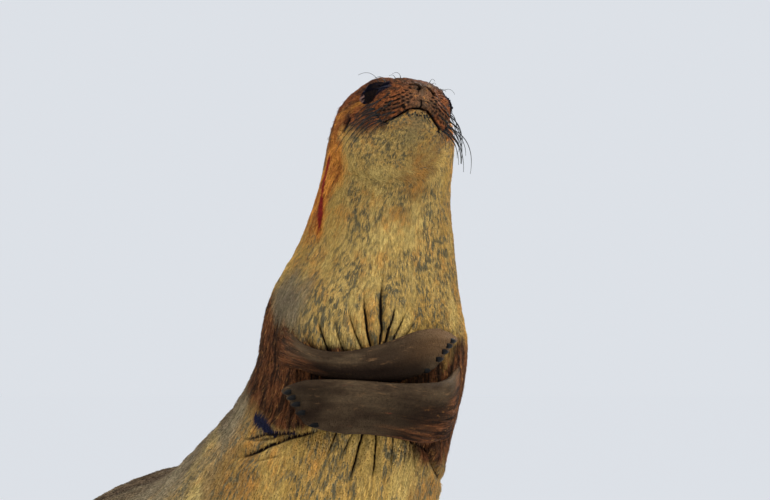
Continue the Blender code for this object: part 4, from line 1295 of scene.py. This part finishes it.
for eyeSide, centre, outward, _, _ in eyes:
    sideName = "Left" if eyeSide > 0 else "Right"
    middle = centre + centreShift
    bm = bmesh.new()
    bmesh.ops.create_uvsphere(
        bm, u_segments=eyeball["segments"], v_segments=eyeball["rings"], radius=eyeRadius
    )
    for vertex in bm.verts:
        vertex.co += Vector(middle)
    mesh = bpy.data.meshes.new("eyeball" + sideName)
    bm.to_mesh(mesh)
    bm.free()
    material = eyeMaterial(mesh.name, tuple(middle + outward * eyeRadius))
    addObject(mesh.name, mesh, material, "eye_dark", ["eye_" + sideName.lower()])
print("eyes done")

# claws: short dark horns at the ends of the digits
claw = {
    "start": 0.955, "end": 0.99, "overhang": 0.004, "sink": 0.0012, "radius": 0.0056, "flat": 0.70,
    "hook": 0.0035, "sides": 20, "rings": 15, "horn": (0.002, 0.002, 0.002), "pale": (0.008, 0.006, 0.005),
}


def clawMaterial():
    finish = Finish("clawHorn")
    place = finish.mark("clawPlace", "Vector")
    ringed = finish.noise(finish.stretch(place, (2, 2, 26)), 1.0, 3.0, 0.6)
    streaked = finish.noise(finish.stretch(place, (14, 14, 1.5)), 1.0, 2.0)
    colour = finish.mix(finish.ramp(streaked, 0.52, 0.75, 0.0, 0.6), claw["horn"], claw["pale"])
    return finish.surface(colour, 0.6, 0.04, Normal=finish.bump(ringed, 0.0003))


clawHorn = clawMaterial()


def addClaw(name, node, base, reach, up):
    sideways = unit(np.cross(reach, up))
    turns = np.linspace(0, 2 * math.pi, claw["sides"], endpoint=False)
    ring = np.cos(turns)[:, None] * sideways + np.sin(turns)[:, None] * up * claw["flat"]
    points, places = [], []
    for t in np.linspace(0, 1, claw["rings"]):
        taper = 1 - (max(t - 0.25, 0) / 0.75) ** 2.2 * 0.96
        size = claw["radius"] * taper * (0.80 + 0.20 * min(t / 0.2, 1))
        points += list(base + reach * t - up * claw["hook"] * t * t + ring * size + centreShift)
        places += [(math.cos(a), math.sin(a), t) for a in turns]
    n, m = claw["rings"], claw["sides"]
    faces = []
    for i in range((n - 1) * m):
        j = i - i % m + (i + 1) % m
        faces.append((i, j, j + m, i + m))
    faces += [tuple(range(m))[::-1], tuple(range((n - 1) * m, n * m))]
    mesh = bpy.data.meshes.new(name)
    mesh.from_pydata([tuple(p) for p in points], [], faces)
    store(mesh, "clawPlace", places)
    closeMesh(mesh)
    addObject(name, mesh, clawHorn, "claw_horn", [node])


for sideName, *form in (("right", rightPath, rightForm), ("left", leftPath, leftForm)):
    for digit, clawPlace in enumerate(clawAcross, 1):
        # where the claw starts and ends on the digit, and the rim below its end
        share, v = np.array([claw["start"], claw["end"], claw["end"]]), np.full(3, clawPlace)
        first, last, rimPoint = foreflipperSheet(*form, share, v, rounded(v, share) * (1, 1, 0))[0]
        alongClaw = unit(last - first)
        up = last - rimPoint
        up = unit(up - alongClaw * (alongClaw @ up))
        base = first - up * claw["sink"]
        tip = last + alongClaw * claw["overhang"]
        addClaw(f"claw{sideName.title()}{digit}", f"claw_{sideName}_{digit}", base, tip - base, up)
print("claws done")

# whiskers: lines that start in the pads' follicles and over the eyes, turned into thin tapering horn
whisker = {
    "thick": 0.00120, "thin": 0.00042, "steps": 16, "sides": 5, "shortest": 0.022, "longest": 0.128,
    "start": (0.80, 0.05, -0.35), "end": (0.22, -0.72, -0.80), "colour": (0.003, 0.003, 0.003),
    "colourTip": (0.012, 0.014, 0.011), "sheathLong": 0.005, "chinHairs": 26,
}
# station and share to the next, degrees round, length
browHairs = (
    ("eyes", 0.55, 131, 0.056), ("eyes", 0.72, 138, 0.026), ("eyes", 0.88, 134, 0.030),
    ("pads", 0.10, 150, 0.020), ("pads", 0.45, 158, 0.028),
)
# length of each row's whiskers beside the longest
rowSpans = (0.45, 0.59, 0.73, 1.0, 0.80)


def bentLine(root, span, heading):
    # a line of equal steps whose heading changes along it
    line = [root]
    for step in range(1, whisker["steps"] + 1):
        line.append(line[-1] + heading((step - 0.5) / whisker["steps"]) * span / whisker["steps"])
    return line


def whiskerLines():
    rng = np.random.default_rng(71)
    headTree = treeOf(skinPoints[isHead])

    def onSkin(p):
        return np.array(headTree.find(p + centreShift)[0]) - centreShift

    lines = []
    for mirror in (1, -1):
        for row, ((start, end, count), rowSpan) in enumerate(zip(whiskerRows, rowSpans)):
            for k in range(count):
                t = min((k + 0.25 * (row % 2)) / (count - 1), 1)
                a, u = (start[i] + t * (end[i] - start[i]) for i in (0, 1))
                u -= 0.004 * math.sin(t * math.pi)
                root = onSkin(layOnHead(fromHead([(a, 0.0, u)], mirror))[0])
                span = whisker["shortest"] + (whisker["longest"] - whisker["shortest"]) * t ** 0.8
                span *= rowSpan * rng.uniform(0.82, 1.12)
                first = np.array(whisker["start"]) + rng.normal(0, 0.08, 3)
                last = np.array(whisker["end"]) + rng.normal(0, 0.09, 3)
                line = bentLine(
                    root, span, lambda t: headAxes @ (unit(first * (1 - t) + last * t) * (mirror, 1, 1))
                )
                lines.append((line, whisker["thick"] * (0.55 + 0.45 * t)))
    for station, share, turn, span in browHairs:
        for mirror in (1, -1):
            browS, browAngle = np.array([along(station, share)]), np.array([math.radians(turn * mirror)])
            outward = bodyNormal(browS, browAngle)[0]
            sweep = headAxes @ np.array([0.55 * mirror, -0.75, -0.30])
            root = onSkin(skinPoint(browS, browAngle)[0])
            line = bentLine(root, span, lambda t: unit(outward * (1 - t) + sweep * t))
            lines.append((line, whisker["thick"] * 0.45))
    # short dark bristles below the lower lip
    for _ in range(whisker["chinHairs"]):
        a, below = rng.uniform(-0.030, 0.034), rng.uniform(0.003, 0.020)
        root = onSkin(layOnHead(fromHead([(a, 0.04, mouthHeight(a) - below)]))[0])
        heading = headAxes @ unit(np.array([0.48 * a / 0.034, 0.35, -0.85]))
        lines.append(([root + heading * step * 0.0012 for step in range(6)], whisker["thick"] * 0.6))
    return lines


def newTree(name, inputs):
    tree = bpy.data.node_groups.new(name, "GeometryNodeTree")
    for label, kind in (("Geometry", "Geometry"), *inputs, ("Material", "Material")):
        tree.interface.new_socket(label, in_out="INPUT", socket_type="NodeSocket" + kind)
    tree.interface.new_socket("Geometry", in_out="OUTPUT", socket_type="NodeSocketGeometry")

    def grow(kind, inputs=None, output=0, **settings):
        return addNode(tree, kind, inputs, **settings).outputs[output]

    def named(name, kind="FLOAT"):
        return grow("GeometryNodeInputNamedAttribute", {"Name": name}, data_type=kind)

    return tree, grow, named, addNode(tree, "NodeGroupInput").outputs


def endTree(tree, grow, given, geometry):
    finished = grow("GeometryNodeSetMaterial", {"Geometry": geometry, "Material": given["Material"]})
    addNode(tree, "NodeGroupOutput", {0: finished})
    return tree


def runTree(obj, tree, values):
    # the result of a tree on an object, as a plain mesh
    modifier = obj.modifiers.new("grow", "NODES")
    modifier.node_group = tree
    for item in tree.interface.items_tree:
        if item.in_out == "INPUT" and item.name in values:
            modifier[item.identifier] = values[item.name]
    return modified(obj)


def whiskerTree():
    tree, grow, named, given = newTree("whiskerHorn", (("Sides", "Int"),))
    thickness = named("thickness")
    curve = grow("GeometryNodeMeshToCurve", {0: given["Geometry"]})
    curve = grow("GeometryNodeSetCurveRadius", {0: curve, "Radius": thickness})
    ring = grow("GeometryNodeCurvePrimitiveCircle", {"Resolution": given["Sides"], "Radius": 1.0})
    inputs = {"Curve": curve, "Profile Curve": ring, "Fill Caps": True}
    tube = addNode(tree, "GeometryNodeCurveToMesh", inputs)
    if "Scale" in tube.inputs:
        tree.links.new(thickness, tube.inputs["Scale"])
    return endTree(tree, grow, given, grow("GeometryNodeRealizeInstances", {0: tube.outputs[0]}))


def whiskerMaterial():
    finish = Finish("whiskerHorn")
    tip = finish.ramp(finish.mark("thickness"), whisker["thin"], whisker["thick"] * 0.8)
    return finish.surface(finish.mix(tip, whisker["colourTip"], whisker["colour"]), 0.55, 0.12)


def addWhiskers():
    points, edges, thickness = [], [], []
    for line, thick in whiskerLines():
        edges += [(len(points) + k, len(points) + k + 1) for k in range(len(line) - 1)]
        points += [tuple(p + centreShift) for p in line]
        share = np.linspace(0, 1, len(line))
        span = share * np.linalg.norm(np.diff(line, axis=0), axis=1).sum()
        thin = min(whisker["thin"], thick * 0.6)
        sheath = thick * bell(span, 0, whisker["sheathLong"])
        thickness += list(thick + (thin - thick) * share**1.3 + sheath)
    source = meshObject("whiskerLines", points, [], edges)
    store(source.data, "thickness", thickness)
    material = whiskerMaterial()
    mesh = runTree(source, whiskerTree(), {"Sides": whisker["sides"], "Material": material})
    bpy.data.objects.remove(source)
    addObject("whiskers", mesh, material, "coat_face")
    print("whiskers", len(mesh.polygons), "faces")


addWhiskers()


# the coat: short locks that lie along the body, grown on the skin region by region
lock = {
    "ridge": 0.30, "ridgeAt": 0.35, "tip": 0.05, "pitch": (-15, -4), "yaw": (-14, 14),
    "vary": (0.65, 1.25), "broad": (0.75, 1.2), "patch": 0.003,
}


def lockObject():
    # a low three-sided lock, one unit long and one wide, rooted at the origin
    points = [(0, -0.5, 0), (0, 0.5, 0), (lock["ridgeAt"], 0, lock["ridge"]), (1, 0, lock["tip"])]
    obj = meshObject("lockShape", points, [(0, 3, 2), (1, 2, 3), (0, 1, 3), (0, 2, 1)])
    store(obj.data, "tuftSpot", [(p[0], p[1] + 0.5, 0) for p in points])
    store(obj.data, "tuftAlong", [p[0] for p in points])
    return obj


def tuftTree():
    inputs = (("Density", "Float"), ("Length", "Float"), ("Width", "Float"), ("Seed", "Int"))
    tree, grow, named, given = newTree("coatTufts", (*inputs, ("Lock", "Object")))
    flow, tuftSpot, rootPlace = (named(name, "FLOAT_VECTOR") for name in ("flow", "tuftSpot", "rootPlace"))

    def maths(operation, first, second):
        return grow("ShaderNodeMath", {0: first, 1: second}, operation=operation)

    def chance(limits, offset):
        inputs = {2: limits[0], 3: limits[1], "Seed": maths("ADD", given["Seed"], offset)}
        return grow("FunctionNodeRandomValue", inputs, 1, data_type="FLOAT")

    density = maths("MULTIPLY", named("amount"), given["Density"])
    inputs = {"Mesh": given["Geometry"], "Density": density, "Seed": given["Seed"]}
    spread = addNode(tree, "GeometryNodeDistributePointsOnFaces", inputs, distribute_method="RANDOM").outputs
    inputs = {"Primary Axis": spread["Normal"], "Secondary Axis": flow}
    turn = grow("FunctionNodeAxesToRotation", inputs, primary_axis="Z", secondary_axis="X")
    pitch = maths("MULTIPLY", chance(np.radians(lock["pitch"]), 1), named("stand"))
    lean = grow("ShaderNodeCombineXYZ", {"Y": pitch, "Z": chance(np.radians(lock["yaw"]), 2)})
    inputs = {"Rotation": turn, "Rotate By": grow("FunctionNodeEulerToRotation", {0: lean})}
    turn = grow("FunctionNodeRotateRotation", inputs, rotation_space="LOCAL")
    long = maths("MULTIPLY", maths("MULTIPLY", given["Length"], named("long")), chance(lock["vary"], 3))
    wide = maths("MULTIPLY", given["Width"], chance(lock["broad"], 4))
    size = grow("ShaderNodeCombineXYZ", {"X": long, "Y": wide, "Z": wide})
    shape = grow("GeometryNodeObjectInfo", {"Object": given["Lock"]}, "Geometry")
    inputs = {"Points": spread["Points"], "Instance": shape, "Rotation": turn, "Scale": size}
    realized = grow("GeometryNodeRealizeInstances", {0: grow("GeometryNodeInstanceOnPoints", inputs)})
    patch = grow("ShaderNodeVectorMath", {0: tuftSpot, "Scale": lock["patch"]}, operation="SCALE")
    spot = grow("ShaderNodeVectorMath", {0: patch, 1: rootPlace}, operation="ADD")
    inputs = {"Geometry": realized, "Name": "OFBake", "Value": spot}
    mapped = grow("GeometryNodeStoreNamedAttribute", inputs, data_type="FLOAT2", domain="CORNER")
    return endTree(tree, grow, given, mapped)


bare = np.maximum(eyeDark, smoothstep(0.15, 0.5, dark))
hairy = np.clip(1 - np.maximum(bare, isHead * smoothstep(0.10, 0.35, paintedCreaseShade)), 0, 1)
noseLeather = bell(headAcross, 0, 0.030) * smoothstep(-0.026, -0.012, headUp)
hairy *= 1 - noseLeather * smoothstep(0.02, 0.032, headForward) * isHead
front = 1 - 0.45 * smoothstep(95, 140, np.abs(degrees))


def stretchOf(low, high):
    return isBody * plateau(s, low, high, 0.012)


clearOfFloor = smoothstep(0.004, 0.012, skinPoints[:, 2])
clumps = smoothstep(0.1, 0.7, wave(angle * 0.12, s, 91, 0.018))
longer = 1 + 0.30 * isBody * (armpitBrownAndShade + bell(np.abs(degrees), 90, 14) * smoothstep(1.8, 2.0, s))
longer *= 1 - 0.45 * isHead * smoothstep(-0.03, 0.03, headForward)
sideOfHead = isHead * bell(np.abs(degrees), 100, 20) * (1 - smoothstep(-0.06, -0.02, headForward))
longer += 1.1 * sideOfHead * clumps
standing = 1 + 0.3 * armpitBrownAndShade * isBody + 1.6 * sideOfHead * clumps - 0.5 * isLimb
# piece, slot, share of each place, tufts wanted, length, width, roughness
coats = (
    ("coatHead", "coat_face", stretchOf(2.13, 9), 47000, 0.0056, 0.00115, 0.62),
    ("coatNeck", "coat_body", stretchOf(1.84, 2.13) * front, 49000, 0.0085, 0.0016, 0.62),
    ("coatChest", "coat_body", stretchOf(1.50, 1.84) * front, 49000, 0.0095, 0.0018, 0.62),
    ("coatBelly", "coat_body", stretchOf(0.95, 1.50) * front, 49000, 0.0110, 0.0022, 0.62),
    ("coatBack", "coat_body", stretchOf(0.42, 0.95), 46000, 0.0120, 0.0025, 0.64),
    ("coatHips", "coat_body", stretchOf(-1, 0.42), 36000, 0.0100, 0.0020, 0.64),
    ("coatForeflippers", "coat_flipper", foreflipper * (1 - 0.6 * isLimb), 34000, 0.0042, 0.0009, 0.58),
    ("coatHindflippers", "coat_hind", (limb >= 3) * 1.0, 34000, 0.0055, 0.0013, 0.60),
)
mesh = skin.data
areas = np.zeros(len(skinPoints))
np.add.at(areas, corners, np.repeat(read(mesh.polygons, "area", 1) / totals, totals))
rootPlace = np.concatenate([flat, 0 * flat[:, :1]], axis=1)
growing = {"flow": flow, "long": longer, "stand": standing, "amount": hairy, "rootPlace": rootPlace}
for name, values in growing.items():
    store(mesh, name, values, "CORNER" if name == "rootPlace" else "POINT")
tree, lockSource = tuftTree(), lockObject()
for number, (name, slot, share, wanted, length, width, roughness) in enumerate(coats):
    amount = hairy * share * clearOfFloor
    mesh.attributes["amount"].data.foreach_set("value", amount.astype(np.float32))
    density = wanted * 1.0 / (amount * areas).sum()
    material = tuftMaterial(name, roughness)
    settings = {"Density": float(density), "Length": length, "Width": width, "Seed": 5 + number * 7}
    tufts = runTree(skin, tree, settings | {"Lock": lockSource, "Material": material})
    height = read(tufts.vertices, "co", 3)
    height[:, 2] = np.maximum(height[:, 2], 0.0006)
    tufts.vertices.foreach_set("co", height.ravel())
    for unused in (*growing, "tuftSpot", "eyeAt"):
        if unused in tufts.attributes:
            tufts.attributes.remove(tufts.attributes[unused])
    addObject(name, tufts, material, slot)
    print(name, len(tufts.polygons), "faces")
bpy.data.objects.remove(lockSource)
for unused in growing:
    mesh.attributes.remove(mesh.attributes[unused])
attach(skin, "root")
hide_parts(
    "head", "jaw", "neck", "chest", "abdomen", "hips", "tail",
    "foreflipper_left", "foreflipper_right", "hind_flipper_left", "hind_flipper_right",
)


# floor, lights and camera
skyTint = (0.90, 0.94, 1.0)
studio = Finish("studioFloor")
studio.surface((0.92, 0.92, 0.92), 0.9, 0.0, Emission_Color=skyTint, Emission_Strength=0.06)
bm = bmesh.new()
bmesh.ops.create_circle(bm, cap_ends=True, segments=96, radius=60.0)
ground = meshObject("studioFloor", [], [])
bm.to_mesh(ground.data)
bm.free()
ground.data.materials.append(studio.material)

azimuth = math.radians(35)
toward = np.array([math.sin(azimuth), math.cos(azimuth), 0.0])
rightwards = np.array([math.cos(azimuth), -math.sin(azimuth), 0.0])
heart = np.array([0.0, -0.55, 0.75])


def addLight(name, offset, power, size):
    # a lamp at an offset from the seal's heart, turned to it
    light = bpy.data.lights.new(name, "AREA")
    light.energy, light.size = power, size
    obj = bpy.data.objects.new(name, light)
    bpy.context.scene.collection.objects.link(obj)
    obj.location = tuple(heart + offset)
    obj.rotation_euler = Vector(tuple(-offset)).to_track_quat("-Z", "Y").to_euler()


addLight("keyLight", -toward * 1.6 + rightwards * 1.5 + (0, 0, 2.9), 205, 2.0)
addLight("sideLight", -rightwards * 2.8 + toward * 0.4 + (0, 0, 1.6), 85, 1.6)
addLight("backLight", toward * 2.0 + rightwards * 1.9 + (0, 0, 2.2), 210, 1.8)
world = bpy.data.worlds.new("studioWorld")
world.use_nodes = True
background = world.node_tree.nodes["Background"].inputs
background["Color"].default_value, background["Strength"].default_value = (*skyTint, 1), 0.80
bpy.context.scene.world = world
bpy.context.scene.view_settings.view_transform = "Standard"

camera = bpy.data.cameras.new("camera")
cameraDistance, cameraAside, cameraHeight, frameWidth = 30.0, 0.0525, 0.924, 1.617
camera.lens = camera.sensor_width / frameWidth * cameraDistance
camera.clip_end = 200
cameraObject = bpy.data.objects.new("camera", camera)
bpy.context.scene.collection.objects.link(cameraObject)
position = rightwards * cameraAside + centreShift - toward * cameraDistance
cameraObject.location = (position[0], position[1], cameraHeight)
cameraObject.rotation_euler = (math.pi / 2, 0, -azimuth)
bpy.context.scene.camera = cameraObject
